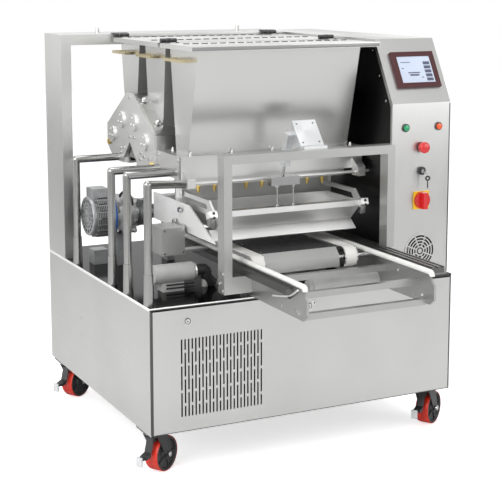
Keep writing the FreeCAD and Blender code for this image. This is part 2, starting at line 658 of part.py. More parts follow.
def hinge_fixed(x, y, z, on_arch):
    """The still half of a hinge: pin, two outer knuckles and the foot that carries them."""
    third = S.hinge_wide / 3
    pin = Part.makeCylinder(S.pin_radius, S.hinge_wide, vec(x, y, z), X)
    ends = [knuckle(x, y, z, 0, third - 0.4, 0), knuckle(x, y, z, 2 * third + 0.4, third - 0.4, 0)]
    gap = Part.makeBox(third + 0.8, 30, 60, vec(x + third - 0.4, y - 14, z - 30))
    if on_arch:
        foot = Part.makeBox(S.hinge_wide, 26, 4, vec(x, S.arch_front - 2, S.cab_height + S.arch_high))
        reach = S.arch_front - 0.3 - y
        lug = Part.makeBox(S.hinge_wide, reach, 14, vec(x, y, z - 7))
        foot = foot.fuse(lug.cut(gap))
    else:
        tall = z - S.knuckle_radius + 2 - S.hop_top
        foot = Part.makeBox(S.hinge_wide, 9, tall, vec(x, y - 4.5, S.hop_top)).cut(gap)
    return pin.fuse([foot] + ends)


def hinge_leaf(x, y, z):
    """The lid's half of a hinge: middle knuckle, web and the leaf on the lid."""
    third = S.hinge_wide / 3
    left = x + third + 0.1
    low = S.lid_z + S.lid_thick - 0.5
    tongue = knuckle(x, y, z, third + 0.1, third - 0.2, S.pin_play)
    leaf = Part.makeBox(third - 0.2, 40, 3, vec(left, y - 46, low))
    web = Part.makeBox(third - 0.2, 12, 3, vec(left, y - 16, low))
    web = web.cut(Part.makeCylinder(S.pin_radius + 1, 80, vec(x, y, z), X))
    return tongue.fuse([leaf, web])


def lids():
    z = S.lid_z + S.lid_thick + S.knuckle_radius
    rear_y = S.arch_front - S.knuckle_radius - 2
    front = lid_panel(S.lid_front, S.lid_split - 12, (0.61,), True)
    rear = lid_panel(S.lid_split + 12, rear_y - 12, (0.37, 0.957), False)
    fixed = []
    for x in (S.lid_left + S.hinge_inset, S.lid_right - S.hinge_inset - S.hinge_wide - S.hinge_shift):
        fixed.append(shape(hinge_fixed(x, S.lid_split, z, False)))
        fixed.append(shape(hinge_fixed(x, rear_y, z, True)))
        front = front.fuse(hinge_leaf(x, S.lid_split, z))
        rear = rear.fuse(hinge_leaf(x, rear_y, z))
    node("lid_front", shape(front))
    node("lid_rear", shape(rear))
    node("lid_hinges", *fixed)


# Dosing heads
def front_head():
    block = box(("head_left+cover_thick", "head_front", "head_low"),
                ("head_right-head_left-cover_thick", "head_back-head_front", "head_high-head_low"))
    plate = box(("head_left+nozzle_inset", "head_front+nozzle_side", "head_low-nozzle_plate"),
                ("head_right-head_left-2*nozzle_inset", "head_back-head_front-2*nozzle_side",
                 "nozzle_plate"))
    flange = box(("head_right", "head_front+nozzle_inset", "head_low+8"),
                 ("con_left-head_right", "head_back-head_front-2*nozzle_inset", "head_high-head_low-16"))
    body = fuse(block, plate, flange)
    cover = box(("head_left", "head_front", "head_low"),
                ("cover_thick", "head_back-head_front", "head_high-head_low"))
    screws = [rod("x", ("head_left-3", y, z), 6, 4)
              for y, z in (("head_front+16", "head_high-14"), ("(head_front+head_back)/2", "head_low+18"),
                           ("head_back-16", "head_high-14"))]
    node("head_block", body, fuse(cover, *screws), *head_nuts())


def nozzles():
    parts = []
    for i in range(int(S.nozzle_count)):
        x = f"nozzle_first+{i}*nozzle_pitch"
        top = "head_low-nozzle_plate"
        body = cone("z", (x, "nozzle_y", f"{top}-nozzle_long"), "nozzle_radius-3", "nozzle_radius",
                    "nozzle_long")
        hole = rod("z", (x, "nozzle_y", f"{top}-nozzle_long-1"), "nozzle_bore", "nozzle_long-2")
        parts.append(cut(body, hole))
    node("nozzles", *parts)


def cap_nut(x, y, z):
    nut = rod("z", (x, y, z), "nut_radius", "nut_tall*0.6")
    dome = cone("z", (x, y, f"{z}+nut_tall*0.6"), "nut_radius*0.85", "nut_radius*0.4", "nut_tall*0.4")
    return fuse(nut, dome)


def head_nuts():
    places = []
    for i in range(5):
        x = f"head_left+45+{i}*(head_right-head_left-90)/4"
        places.append((x, "head_front+nut_radius+1", "head_high"))
        places.append((x, "(head_back+front_foot_end)/2", "head_high"))
    return [cap_nut(*place) for place in places]


def guide_rod():
    bar = rod("x", ("clamp_left+1", "rod_y", "rod_z"), "rod_radius", "con_left-clamp_left-1")
    parts = [bar]
    for left in (S.clamp_left, S.clamp_right):
        back = S.head_front
        front = back - S.clamp_reach
        points = [(left, back, S.clamp_low), (left, back, S.clamp_high), (left, front, S.clamp_nose),
                  (left, front, S.clamp_low)]
        body = prism(points, vec(S.clamp_wide, 0, 0))
        bore = Part.makeCylinder(S.rod_radius + S.clamp_play, S.clamp_wide + 2,
                                 vec(left - 1, S.rod_y, S.rod_z), X)
        parts.append(shape(body.cut(bore)))
    node("guide_rod", *parts)


def rear_head():
    left = S.head_left
    inner = prism([(left, y, z) for y, z in house_profile()], vec(S.head_right - left, 0, 0))
    flange = Part.makeBox(S.con_left - S.head_right, 300, 90, vec(S.head_right, 500, S.house_low + 20))
    wall = S.house_wall
    hollow = prism([(left + wall, y, z) for y, z in house_profile(wall)],
                   vec(S.head_right - left - 2 * wall, 0, 0))
    pocket = Part.makeBox(50, S.notch_back - S.notch_front - 40, S.notch_top - S.house_low - 20,
                          vec(left - 1, S.notch_front + 20, S.house_low - 1))
    sheet = Part.makeBox(S.head_right - left - 80, S.sheet, S.splash_tall,
                         vec(left + 70, S.house_front + 2, S.house_low - S.splash_tall))
    node("gear_housing", shape(inner.fuse(flange).cut([hollow, pocket])), shape(sheet))
    plate = prism([(left - S.side_thick, y, z) for y, z in house_profile()], vec(S.side_thick, 0, 0))
    middle = (S.notch_front + S.notch_back) / 2
    notch = prism([(left - S.side_thick - 1, S.notch_front, S.house_low - 1),
                   (left - S.side_thick - 1, S.notch_front, S.notch_foot),
                   (left - S.side_thick - 1, middle, S.notch_top),
                   (left - S.side_thick - 1, S.notch_back, S.notch_foot),
                   (left - S.side_thick - 1, S.notch_back, S.house_low - 1)],
                  vec(S.side_thick + 2, 0, 0))
    caps = [shape(plate.cut(notch))]
    low = S.shoulder_z - 32
    high = S.shoulder_z + 29
    for y, z in ((S.house_back - 59, low), (S.roof_back + 55, high), (S.roof_front - 1, high),
                 (S.house_front + 90, low)):
        disc = Part.makeCylinder(S.boss_radius, S.boss_out, vec(left - S.side_thick - S.boss_out, y, z), X)
        for i in range(3):
            angle = math.radians(90 + 120 * i)
            screw = Part.makeCylinder(4.5, 3, vec(left - S.side_thick - S.boss_out - 3,
                                                  y + 17 * math.cos(angle), z + 17 * math.sin(angle)), X)
            disc = disc.fuse(screw)
        caps.append(shape(disc))
    bushes = [rod("x", ("head_left-side_thick-7", y, z), "bush_radius", 7)
              for y, z in (("house_front+20", "house_low+24"), ("house_back-25", "house_low+66"))]
    node("gear_side_plate", *caps, *bushes)


def conduits():
    parts = []
    ends = ((S.conduit_rear, S.head_left - S.side_thick, S.conduit_z - 6),
            (S.conduit_house, S.head_left, S.conduit_z),
            (S.conduit_head, S.head_left, S.conduit_z + 5))
    r = S.conduit_radius
    x = S.conduit_x
    deck = S.cab_height
    for y, end, z in ends:
        parts.append(shape(conduit_shape(x, y, z, vec(end, y, z), r, deck)))
    front_end = vec(S.clamp_left, S.rod_y, S.rod_z)
    z = S.conduit_z
    parts.append(shape(conduit_shape(x, S.conduit_front, z, front_end, r, deck)))
    node("conduits", *parts)


def conduit_shape(x, y, z, end, radius, deck):
    start = vec(x, y, z)
    run = end - start
    up = Part.makeCylinder(radius, z - deck, vec(x, y, deck), Z)
    leg = Part.makeCylinder(radius, run.Length + radius, start, run)
    knee = Part.makeSphere(radius, start)
    sleeve = Part.makeCone(S.sleeve_radius, radius + 2, S.sleeve_tall, vec(x, y, deck), Z)
    beyond = Part.makeBox(200, 400, 200, vec(end.x, end.y - 200, end.z - 100))
    return up.fuse([leg, knee, sleeve]).cut(beyond)


# Conveyor
def cheek(left):
    t = S.cheek_thick
    front = -S.line_front
    points = [(left, front, S.cheek_low + S.tip_up), (left, front + S.tip_back, S.cheek_low),
              (left, S.line_back, S.cheek_low), (left, S.line_back, S.cheek_high),
              (left, front + S.cheek_cut, S.cheek_high), (left, front, S.cheek_high - S.cheek_cut)]
    journal = S.shaft_radius + S.roller_play
    holes = [Part.makeCylinder(radius, 3 * t, vec(left - t, y, z), X)
             for y, z, radius in ((front + S.flange_hole_in, S.cheek_low + S.flange_hole_up, S.flange_hole),
                                  (S.roller_y, S.roller_z, journal), (S.drive_y, S.roller_z, journal))]
    return prism(points, vec(t, 0, 0)).cut(Part.makeCompound(holes))


def conveyor_frame():
    left = shape(cheek(S.cheek_left))
    right = shape(cheek(S.cheek_right - S.cheek_thick))
    span = "cheek_right-cheek_left-2*cheek_thick"
    bars = [box(("cheek_left+cheek_thick", f"{y}-bar_side/2", f"{z}-bar_side/2"),
                (span, "bar_side", "bar_side"))
            for y, z in (("bar_one_y", "bar_one_z"), ("bar_two_y", "bar_two_z"),
                         ("bar_three_y", "bar_three_z"))]
    for y in ("stay_front", "stay_back"):
        stay = box(("cheek_left+cheek_thick", y, "cheek_high-1-stay_side"), (span, "stay_side", "stay_side"))
        risers = [box((x, y, "cheek_high-2"), ("stay_side", "stay_side", "bed_top-bed_thick-cheek_high+2"))
                  for x in ("bed_left+20", "bed_right-20-stay_side")]
        bars.append(fuse(stay, *risers))
    feet = []
    for x in ("cheek_left", "cheek_right-cheek_thick"):
        for y in (60, "line_back-60"):
            feet.append(box((x, y, "cab_height"), ("cheek_thick", 50, "cheek_low-cab_height+1")))
    node("conveyor_frame", fuse(left, feet[0], feet[1]), fuse(right, feet[2], feet[3]), nose_cover(),
         junction_box(), *bars)


def guide_rails():
    rails = []
    for left, wide, top, front, grooves in (
            (S.cheek_left - S.rail_left_wide, S.rail_left_wide, S.cheek_high - 4, 40 - S.rail_front, 3),
            (S.cheek_right, S.rail_right_wide, S.gan_right_low - 4, -S.rail_front, 3)):
        long = S.line_back - front
        rail = Part.makeBox(wide, long, S.rail_tall, vec(left, front, top - S.rail_tall))
        pitch = wide / grooves
        for i in range(grooves):
            groove = Part.makeBox(pitch * 0.4, long, 4, vec(left + pitch * (i + 0.3), front, top - 4))
            rail = rail.cut(groove)
        rails.append(rail)
    recess = Part.makeBox(S.cord_gap, 2 * long, S.rail_tall, vec(S.cheek_right, -long, S.cheek_high))
    node("guide_rails", shape(rails[0]), shape(rails[1].cut(recess)))


def guide_cords():
    parts = []
    for x in (S.cheek_left + S.cheek_thick / 2, S.cheek_right - S.cheek_thick / 2):
        r = S.cord_radius
        z = S.cheek_high + r
        front = -S.line_front + S.cord_start
        bend = S.cord_bend
        line = Part.LineSegment(vec(x, S.line_back - 40, z), vec(x, front, z))
        arc = Part.Arc(vec(x, front, z), vec(x, front - bend * math.sin(math.pi / 4),
                                             z - bend + bend * math.cos(math.pi / 4)),
                       vec(x, front - bend, z - bend))
        path = Part.Wire([line.toShape(), arc.toShape()])
        ring = Part.Wire([Part.makeCircle(r, vec(x, S.line_back - 40, z), Y)])
        tube = path.makePipeShell([ring], True, True)
        parts.append(shape(tube))
    node("guide_cords", *parts)


def belt_loop(left, radius):
    low = Part.makeBox(S.belt_wide, S.drive_y - S.roller_y, 2 * radius,
                       vec(left, S.roller_y, S.roller_z - radius))
    ends = [Part.makeCylinder(radius, S.belt_wide, vec(left, y, S.roller_z), X)
            for y in (S.roller_y, S.drive_y)]
    return low.fuse(ends)


def belts():
    parts = []
    for left in (S.belt_left, S.belt_right):
        outer = belt_loop(left, S.roller_radius + S.belt_thick)
        inner = belt_loop(left, S.roller_radius + 0.3)
        parts.append(shape(outer.cut(inner).removeSplitter()))
    node("belts", *parts)


def rollers():
    left = S.cheek_left + 1
    right = S.cheek_right - 1
    for name, y in (("front", S.roller_y), ("drive", S.drive_y)):
        shaft = Part.makeCylinder(S.shaft_radius, right - left, vec(left, y, S.roller_z), X)
        drums = [Part.makeCylinder(S.roller_radius, S.belt_wide, vec(start, y, S.roller_z), X)
                 for start in (S.belt_left, S.belt_right)]
        node(f"roller_{name}", shape(shaft.fuse(drums)))


def bed():
    plate = box(("bed_left", "roller_y+4", "bed_top-bed_thick"),
                ("bed_right-bed_left", "drive_y-roller_y-60", "bed_thick"))
    node("conveyor_bed", plate)


def nose_cover():
    y = S.roller_y + 4
    low = S.bed_top - S.nose_tall
    points = [(y, S.bed_top), (y - S.nose_depth + 4, S.bed_top - 26), (y - S.nose_depth, low), (y, low)]
    wide = S.bed_right - S.bed_left
    nose = prism([(S.bed_left, a, b) for a, b in points], vec(wide, 0, 0))
    way = Part.makeCylinder(S.shaft_radius + S.nose_play, wide, vec(S.bed_left, S.roller_y, S.roller_z), X)
    return shape(nose.cut(way))


# Lifting frame and tray
def gantry():
    deep = "gan_deep"
    left = box(("gan_left", "gan_front", "gan_low"), ("gan_tube", deep, "gan_top-gan_low"))
    right = box(("gan_right-gan_tube", "gan_front", "gan_right_low-4"),
                ("gan_tube", deep, "gan_top-gan_right_low+4"))
    top = box(("gan_left", "gan_front", "gan_top-gan_tube"), ("gan_right-gan_left", deep, "gan_tube"))
    frame = fuse(left, right, top)
    plate = box(("gan_left+gan_tube", "gan_front", "gan_low"),
                ("cheek_left-gan_left-gan_tube", "foot_thick", "foot_tall"))
    node("gantry", frame, plate)


def lean_frame():
    """The lifting cylinder's own frame: z up along its axis, from the yoke."""
    return FreeCAD.Placement(vec(S.lift_x, S.lift_foot_y, S.lift_foot_z),
                             FreeCAD.Rotation(X, S.lift_lean))


def leaned(form):
    form.Placement = lean_frame().multiply(form.Placement)
    return form


def lift():
    side = S.barrel_side
    barrel = Part.makeBox(side, side, S.barrel_long, vec(-side / 2, -side / 2, S.barrel_low))
    for i in (-1, 0, 1):
        barrel = barrel.cut(Part.makeBox(3, 3, S.barrel_long, vec(i * 9 - 1.5, -side / 2, S.barrel_low)))
    bore = Part.makeCylinder(S.rod_thick / 2 + 0.06, S.barrel_long - 12, vec(0, 0, S.barrel_low - 1), Z)
    node("lift_cylinder", shape(leaned(barrel.cut(bore))), tilt_bracket())
    piston = leaned(Part.makeCylinder(S.rod_thick / 2, S.barrel_low + 88 - S.lift_stroke, vec(0, 0, -3), Z))
    yoke = Part.makeBox(S.yoke_wide, S.yoke_deep, S.yoke_tall,
                        vec(S.yoke_left, S.lift_foot_y - S.yoke_deep / 2, S.lift_foot_z - S.yoke_tall))
    hangers = []
    for x in (S.yoke_left + 30, S.yoke_left + S.yoke_wide - 18):
        y = S.lift_foot_y
        low = S.tray_rim - 16
        hangers.append(Part.makeCylinder(S.hanger_radius, S.lift_foot_z - S.yoke_tall - low + 1,
                                         vec(x, y, low), Z))
        for z in (S.tray_rim + 1.2, S.tray_rim - S.tray_wall - 1.2 - 6):
            hangers.append(Part.makeCylinder(S.hanger_nut, 6, vec(x, y, z), Z))
    node("lift_yoke", shape(yoke.fuse(hangers + [piston])))


def tilt_bracket():
    t = S.tilt_thick
    plate = Part.makeBox(S.tilt_wide, S.tilt_long, t, vec(S.tilt_left, 0, -t))
    for x in (14, S.tilt_wide - 14):
        for y in (14, S.tilt_long - 14):
            plate = plate.cut(Part.makeCylinder(3.5, 3 * t, vec(S.tilt_left + x, y, -2 * t), Z))
    plate.Placement = FreeCAD.Placement(vec(0, S.gan_front + S.gan_deep + 5, S.gan_top + 9),
                                        FreeCAD.Rotation(X, S.tilt_turn))
    back = S.gan_front + S.gan_deep
    lug = Part.makeBox(S.tilt_wide, 30, 8, vec(S.tilt_left, back - 18, S.gan_top))
    foot_y = back + 5 + t * math.sin(math.radians(S.tilt_turn))
    foot_z = S.gan_top + 9 - t * math.cos(math.radians(S.tilt_turn))
    run = 62
    rise = run * math.tan(math.radians(S.tilt_turn))
    gusset = prism([(S.tilt_left, foot_y, foot_z), (S.tilt_left, foot_y + run, foot_z + rise),
                    (S.tilt_left, foot_y + run, foot_z + 8)], vec(8, 0, 0))
    return shape(plate.fuse([lug, gusset]))


def tray():
    w = S.tray_wall
    rim = S.tray_rim - S.lip_tall

    def ring(z, inset, wall):
        left = S.tray_left + inset + wall
        right = S.tray_right - inset - wall
        front = S.tray_front + inset + wall
        back = S.tray_back - wall
        points = [(left, front, z), (right, front, z), (right, back, z), (left, back, z)]
        return Part.makePolygon([vec(*p) for p in points] + [vec(*points[0])])
    outer = Part.makeLoft([ring(S.tray_floor, S.tray_taper, 0), ring(rim, 0, 0)], True, True)
    outer = outer.fuse(Part.makeLoft([ring(rim, 0, 0), ring(S.tray_rim, 0, 0)], True, True))
    inner = Part.makeLoft([ring(S.tray_floor + w, S.tray_taper, w), ring(rim, 0, w)], True, True)
    inner = inner.fuse(Part.makeLoft([ring(rim, 0, w), ring(S.tray_rim + 1, 0, w)], True, True))
    pan = outer.cut(inner)
    flange = Part.makeBox(S.tray_right - S.tray_left, S.lip_deep, w,
                          vec(S.tray_left, S.tray_front, S.tray_rim - w))
    slots = []
    for x in (S.yoke_left + 30, S.yoke_left + S.yoke_wide - 18):
        slots.append(Part.makeBox(11, 20, 3 * w, vec(x - 5.5, S.lift_foot_y - 12, S.tray_rim - 2 * w)))
    pan = pan.fuse(flange.cut(Part.makeCompound(slots)))
    arms = []
    for left in (S.tray_left - S.arm_thick, S.tray_right):
        h = S.arm_tall
        points = [(S.arm_y + 12, S.arm_z - h / 2), (S.arm_y + 12, S.arm_z + h / 2),
                  (S.tray_front + 40, S.arm_z + h / 2), (S.tray_front - 2, S.tray_rim),
                  (S.tray_front - 2, S.tray_rim - 26), (S.tray_front + 22, S.tray_rim - 26),
                  (S.tray_front + 60, S.arm_z - h / 2)]
        arm = prism([(left, y, z) for y, z in points], vec(S.arm_thick, 0, 0))
        arm = arm.cut(Part.makeCylinder(5.06, 60, vec(left - 20, S.arm_y, S.arm_z), X))
        arms.append(arm)
    node("drip_tray", shape(pan.fuse(arms)))


def station():
    """The side plate on the left, the beam behind the tray, the tray's hangers and the apron."""
    left = S.guard_left
    points = [(S.guard_front, S.guard_low), (S.guard_knee, S.guard_top), (S.guard_back, S.guard_top),
              (S.guard_back, S.guard_low)]
    plate = prism([(left, y, z) for y, z in points], vec(S.guard_thick, 0, 0))
    beam = box(("guard_left+guard_thick", "guard_back-beam_side", "guard_top-beam_side-10"),
               ("con_left-guard_left-guard_thick", "beam_side", "beam_side"))
    hangers = []
    for start, sign in ((S.tray_left - S.arm_thick - 18, 1), (S.tray_right + S.arm_thick + 18, -1)):
        post_left = start if sign > 0 else start - 12
        post = Part.makeBox(12, 30, S.head_low - S.arm_z + 15, vec(post_left, S.arm_y - 15, S.arm_z - 15))
        pin = Part.makeCylinder(5, 18 + S.arm_thick, vec(start, S.arm_y, S.arm_z), vec(sign, 0, 0))
        hangers.append(shape(post.fuse(pin)))
    thick = 3
    back = S.apron_front + 40
    apron = prism([(S.apron_left, y, z) for y, z in
                   ((S.apron_front, S.apron_low), (back, S.apron_high),
                    (back, S.apron_high - 2 * thick), (S.apron_front + thick, S.apron_low - thick))],
                  vec(S.apron_right - S.apron_left, 0, 0))
    beam_low = S.guard_top - S.beam_side - 10
    arm_low = S.apron_high - 2 - S.apron_arm
    arms = []
    for x in (S.apron_left + 60, S.apron_right - 60 - S.apron_arm):
        arms.append(Part.makeBox(S.apron_arm, S.guard_back - back + 6, S.apron_arm,
                                 vec(x, back - 6, arm_low)))
        arms.append(Part.makeBox(S.apron_arm, S.beam_side, beam_low - arm_low,
                                 vec(x, S.guard_back - S.beam_side, arm_low)))
    node("station_frame", beam, shape(plate), shape(apron.fuse(arms)), *hangers)


# Drives
def gearmotor():
    y, z = S.gear_y, S.gear_z
    body = Part.makeCylinder(S.motor_radius, S.motor_long, vec(S.motor_left, y, z), X)
    fins = []
    for i in range(int(S.fin_count)):
        fin = Part.makeBox(S.motor_long - 20, S.fin_thick, S.fin_tall + 6,
                           vec(S.motor_left + 14, -S.fin_thick / 2, S.motor_radius - 6))
        fin.rotate(vec(0, 0, 0), X, 360 / S.fin_count * i)
        fin.translate(vec(0, y, z))
        fins.append(fin)
    box_form = Part.makeBox(62, 70, 54, vec(S.motor_left + 8, y - 35, z + S.motor_radius - 20))
    motor = shape(body.fuse(fins + [box_form]))
    start = S.motor_left + S.motor_long
    flange = Part.makeCylinder(S.motor_radius + 10, S.flange_thick, vec(start, y, z), X)
    side = S.gearcase_side
    case = Part.makeBox(S.gearcase_long, side, side, vec(start + S.flange_thick, y - side / 2, z - side / 2))
    stage = [Part.makeCylinder(radius, long, vec(start + S.flange_thick + S.gearcase_long + along, y, z), X)
             for radius, along, long in ((58, 0, 12), (46, 0, S.stage_long), (52, 30, 8), (52, 48, 8))]
    foot = Part.makeBox(S.foot_side, S.foot_side, z - side / 2 - S.cab_height + 2,
                        vec(start + S.flange_thick + 10, y - S.foot_side / 2, S.cab_height))
    cap = Part.makeCylinder(20, 14, vec(start + S.flange_thick + 30, y - side / 2 - 14, z - 40), Y)
    stand = Part.makeBox(S.stand_wide, S.stand_deep, z + 26 - S.cab_height,
                         vec(S.stand_left, y - S.stand_deep / 2, S.cab_height))
    stand = stand.cut(Part.makeCylinder(S.drive_radius + S.wheel_play, 2 * S.stand_wide,
                                        vec(S.stand_left - 10, y, z), X))
    node("gearmotor", motor, shape(flange.fuse([case, foot, cap] + stage)), shape(stand),
         box(("motor_left+30", "gear_y+20", "cab_height"), (56, 60, 55)))
    shaft_start = start + S.flange_thick + S.gearcase_long + S.stage_long + 0.3
    shaft = Part.makeCylinder(S.drive_radius, S.shaft_end - shaft_start, vec(shaft_start, y, z), X)
    coupling = Part.makeCylinder(28, 46, vec(shaft_start + 8, y, z), X)
    node("drive_shaft", shape(shaft.fuse(coupling)))


def small_motor():
    y, z = S.small_y, S.small_z
    body = rod("x", ("small_x", "small_y", "small_z"), "small_radius", "small_long")
    collar = rod("x", ("small_x+small_long", "small_y", "small_z"), "small_radius-6", 12)
    foot = box(("small_x+30", "small_y-25", "cab_height"), (80, 50, "small_z-small_radius-cab_height+4"))
    motor = fuse(body, collar, foot)
    start = vec(S.small_x + S.small_long + 12, y, z)
    r = 30
    arc = Part.Arc(start + vec(8, 0, 0), start + vec(8 + r * math.sin(math.pi / 4), 0,
                                                     -r + r * math.cos(math.pi / 4)),
                   start + vec(8 + r, 0, -r))
    drop = Part.LineSegment(start + vec(8 + r, 0, -r), vec(start.x + 8 + r, y, S.cab_height))
    path = Part.Wire([Part.LineSegment(start, start + vec(8, 0, 0)).toShape(), arc.toShape(), drop.toShape()])
    ring = Part.Wire([Part.makeCircle(S.hose_radius, start, X)])
    drum = turned([(0, 0), (S.drum_radius - 6, 0), (S.drum_radius - 6, 14), (S.drum_radius - 2, 14),
                   (S.drum_radius, 18), (S.drum_radius, S.cheek_right - S.cheek_thick - S.drum_left),
                   (0, S.cheek_right - S.cheek_thick - S.drum_left)], (S.drum_left, S.drum_y, S.drum_z), X)
    node("belt_motor", motor, shape(path.makePipeShell([ring], True, True)), shape(drum))


def junction_box():
    case = box(("box_left", "box_front", "box_low"), ("box_wide", "box_deep", "box_tall"))
    arm = box(("box_left+box_wide-1", "box_front+30", "cheek_high-4"),
              ("cheek_left-box_left-box_wide-5", 40, 8))
    return fuse(case, arm)


def place_all():
    """Moves each sub-part from the cabinet's corner to the machine's own frame."""
    along = "cos(caster_turn*1deg)"
    across = "sin(caster_turn*1deg)"
    left = f"caster_inset-(stem_radius+pivot_back+pedal_reach)*{along}-pedal_wide/2*{across}"
    right = (f"cab_width-caster_inset+(caster_trail+wheel_radius)*{along}"
             f"+(wheel_wide/2-6)*{across}")
    for item in SUBPARTS:
        put(item, (f"-({left}+{right})/2", "(line_front-cab_depth)/2", "caster_height"))


def check_and_write():
    DOC.recompute()
    os.makedirs("parts", exist_ok=True)
    for item in DOC.Objects:
        if "Invalid" in item.State or "Error" in item.State:
            raise SystemExit(f"{item.Label}: {item.State}")
    for item in SUBPARTS:
        if item.Shape.isNull() or not item.Shape.isValid():
            raise SystemExit(f"{item.Label} has no valid shape")
    for item in SUBPARTS:
        item.Shape.exportStep(f"parts/{item.Label}.step")
    print(len(SUBPARTS), "sub-parts")


fill_sheet()
base_frame()
cabinet_shell()
deck_plate()
front_panel()
panel_locks()
for name, x, y in caster_places():
    caster(name, x, y)
console_shell()
hmi()
push_buttons()
emergency_stop()
key_switch()
main_switch()
fan()
hoppers()
hopper_handles()
arch()
lids()
front_head()
nozzles()
guide_rod()
rear_head()
conduits()
conveyor_frame()
guide_rails()
guide_cords()
belts()
rollers()
bed()
gantry()
lift()
tray()
station()
gearmotor()
small_motor()
place_all()
check_and_write()
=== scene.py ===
import bpy
import bmesh
import json
import math
from mathutils import Matrix, Vector


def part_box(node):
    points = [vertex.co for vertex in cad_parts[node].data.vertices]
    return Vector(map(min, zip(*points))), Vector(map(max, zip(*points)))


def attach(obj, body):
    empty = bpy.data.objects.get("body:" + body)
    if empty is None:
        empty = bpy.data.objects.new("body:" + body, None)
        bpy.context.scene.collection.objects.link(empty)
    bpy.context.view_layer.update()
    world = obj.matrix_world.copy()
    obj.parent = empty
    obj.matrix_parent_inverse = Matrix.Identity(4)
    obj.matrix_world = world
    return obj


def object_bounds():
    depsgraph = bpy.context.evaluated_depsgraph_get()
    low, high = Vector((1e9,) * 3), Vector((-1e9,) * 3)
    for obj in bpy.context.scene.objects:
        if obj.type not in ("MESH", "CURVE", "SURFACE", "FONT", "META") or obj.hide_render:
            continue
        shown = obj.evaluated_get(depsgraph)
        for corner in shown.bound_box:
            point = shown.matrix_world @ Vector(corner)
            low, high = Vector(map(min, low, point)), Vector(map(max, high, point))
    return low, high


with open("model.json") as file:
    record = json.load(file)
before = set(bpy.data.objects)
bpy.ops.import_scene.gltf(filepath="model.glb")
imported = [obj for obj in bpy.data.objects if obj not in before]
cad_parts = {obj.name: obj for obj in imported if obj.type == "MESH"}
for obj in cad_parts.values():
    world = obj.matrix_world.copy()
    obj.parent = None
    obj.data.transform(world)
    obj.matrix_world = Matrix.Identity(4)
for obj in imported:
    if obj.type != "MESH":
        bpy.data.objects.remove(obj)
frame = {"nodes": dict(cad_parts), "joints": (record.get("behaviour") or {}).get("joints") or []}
cad_low, cad_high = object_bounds()

MM = 0.001
DECK_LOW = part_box("deck_plate")[0]
CORNER = Vector((DECK_LOW.x, DECK_LOW.y, DECK_LOW.z - 432 * MM))
MACHINE = "machine"


def spot(x, y, z):
    """A place in millimetres from the cabinet's front left bottom corner."""
    return CORNER + Vector((x, y, z)) * MM


def front_centre(node):
    """The middle of a node's front face."""
    low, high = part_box(node)
    return Vector(((low.x + high.x) / 2, low.y, (low.z + high.z) / 2))


class Nodes:
    """A node tree with short ways to add a node and to link two."""

    def __init__(self, tree):
        self.tree = tree

    def add(self, kind, **settings):
        node = self.tree.nodes.new(kind)
        for name, value in settings.items():
            setattr(node, name, value)
        return node

    def link(self, start, end):
        self.tree.links.new(start, end)

    def spread(self, value, low, high, start=0.3, end=0.7):
        """Maps a value from start and end to low and high."""
        node = self.add("ShaderNodeMapRange")
        for name, number in (("From Min", start), ("From Max", end), ("To Min", low), ("To Max", high)):
            node.inputs[name].default_value = number
        self.link(value, node.inputs["Value"])
        return node.outputs["Result"]


# Finishes
class Finish(Nodes):
    """A material with the few nodes that every finish here is mixed from."""

    def __init__(self, name, colour, rough, metal=0.0):
        self.material = bpy.data.materials.new(name)
        self.material.use_nodes = True
        super().__init__(self.material.node_tree)
        self.shader = self.tree.nodes["Principled BSDF"]
        self.colour = (*colour, 1)
        self.rough = rough
        self.shader.inputs["Base Color"].default_value = self.colour
        self.shader.inputs["Roughness"].default_value = rough
        self.shader.inputs["Metallic"].default_value = metal
        self.place = self.add("ShaderNodeTexCoord").outputs["Object"]

    def stretched(self, scale):
        mapping = self.add("ShaderNodeMapping")
        mapping.inputs["Scale"].default_value = scale
        self.link(self.place, mapping.inputs["Vector"])
        return mapping.outputs["Vector"]

    def noise(self, scale, detail=3.0, roughness=0.5, stretch=(1, 1, 1)):
        node = self.add("ShaderNodeTexNoise")
        node.inputs["Scale"].default_value = scale
        node.inputs["Detail"].default_value = detail
        node.inputs["Roughness"].default_value = roughness
        self.link(self.stretched(stretch), node.inputs["Vector"])
        return node.outputs["Fac"]

    def tint(self, value, darker, lighter):
        """Colour that wanders between two strengths of the finish's own colour."""
        ramp = self.add("ShaderNodeValToRGB")
        for stop, place, share in zip(ramp.color_ramp.elements, (0.3, 0.7), (darker, lighter)):
            stop.position = place
            stop.color = [min(1, c * share) for c in self.colour[:3]] + [1]
        self.link(value, ramp.inputs["Fac"])
        self.link(ramp.outputs["Color"], self.shader.inputs["Base Color"])

    def vary_rough(self, value, amount):
        result = self.spread(value, max(0.02, self.rough - amount), self.rough + amount)
        self.link(result, self.shader.inputs["Roughness"])

    def bump(self, value, strength, distance=0.001):
        node = self.add("ShaderNodeBump")
        node.inputs["Strength"].default_value = strength
        node.inputs["Distance"].default_value = distance
        self.link(value, node.inputs["Height"])
        self.link(node.outputs["Normal"], self.shader.inputs["Normal"])


def brushed(name, colour, rough, stretch, depth=0.10, metal=1.0):
    """Sheet steel with fine parallel brush lines and faint cloudy wear."""
    finish = Finish(name, colour, rough, metal)
    lines = finish.noise(6, 5, 0.7, stretch)
    finish.tint(finish.noise(2.5, 2), 1 - 0.5 * depth, 1 + 0.4 * depth)
    finish.vary_rough(lines, 0.7 * depth)
    finish.bump(lines, depth, 0.0006)
    finish.shader.inputs["Anisotropic"].default_value = 0.4
    return finish.material


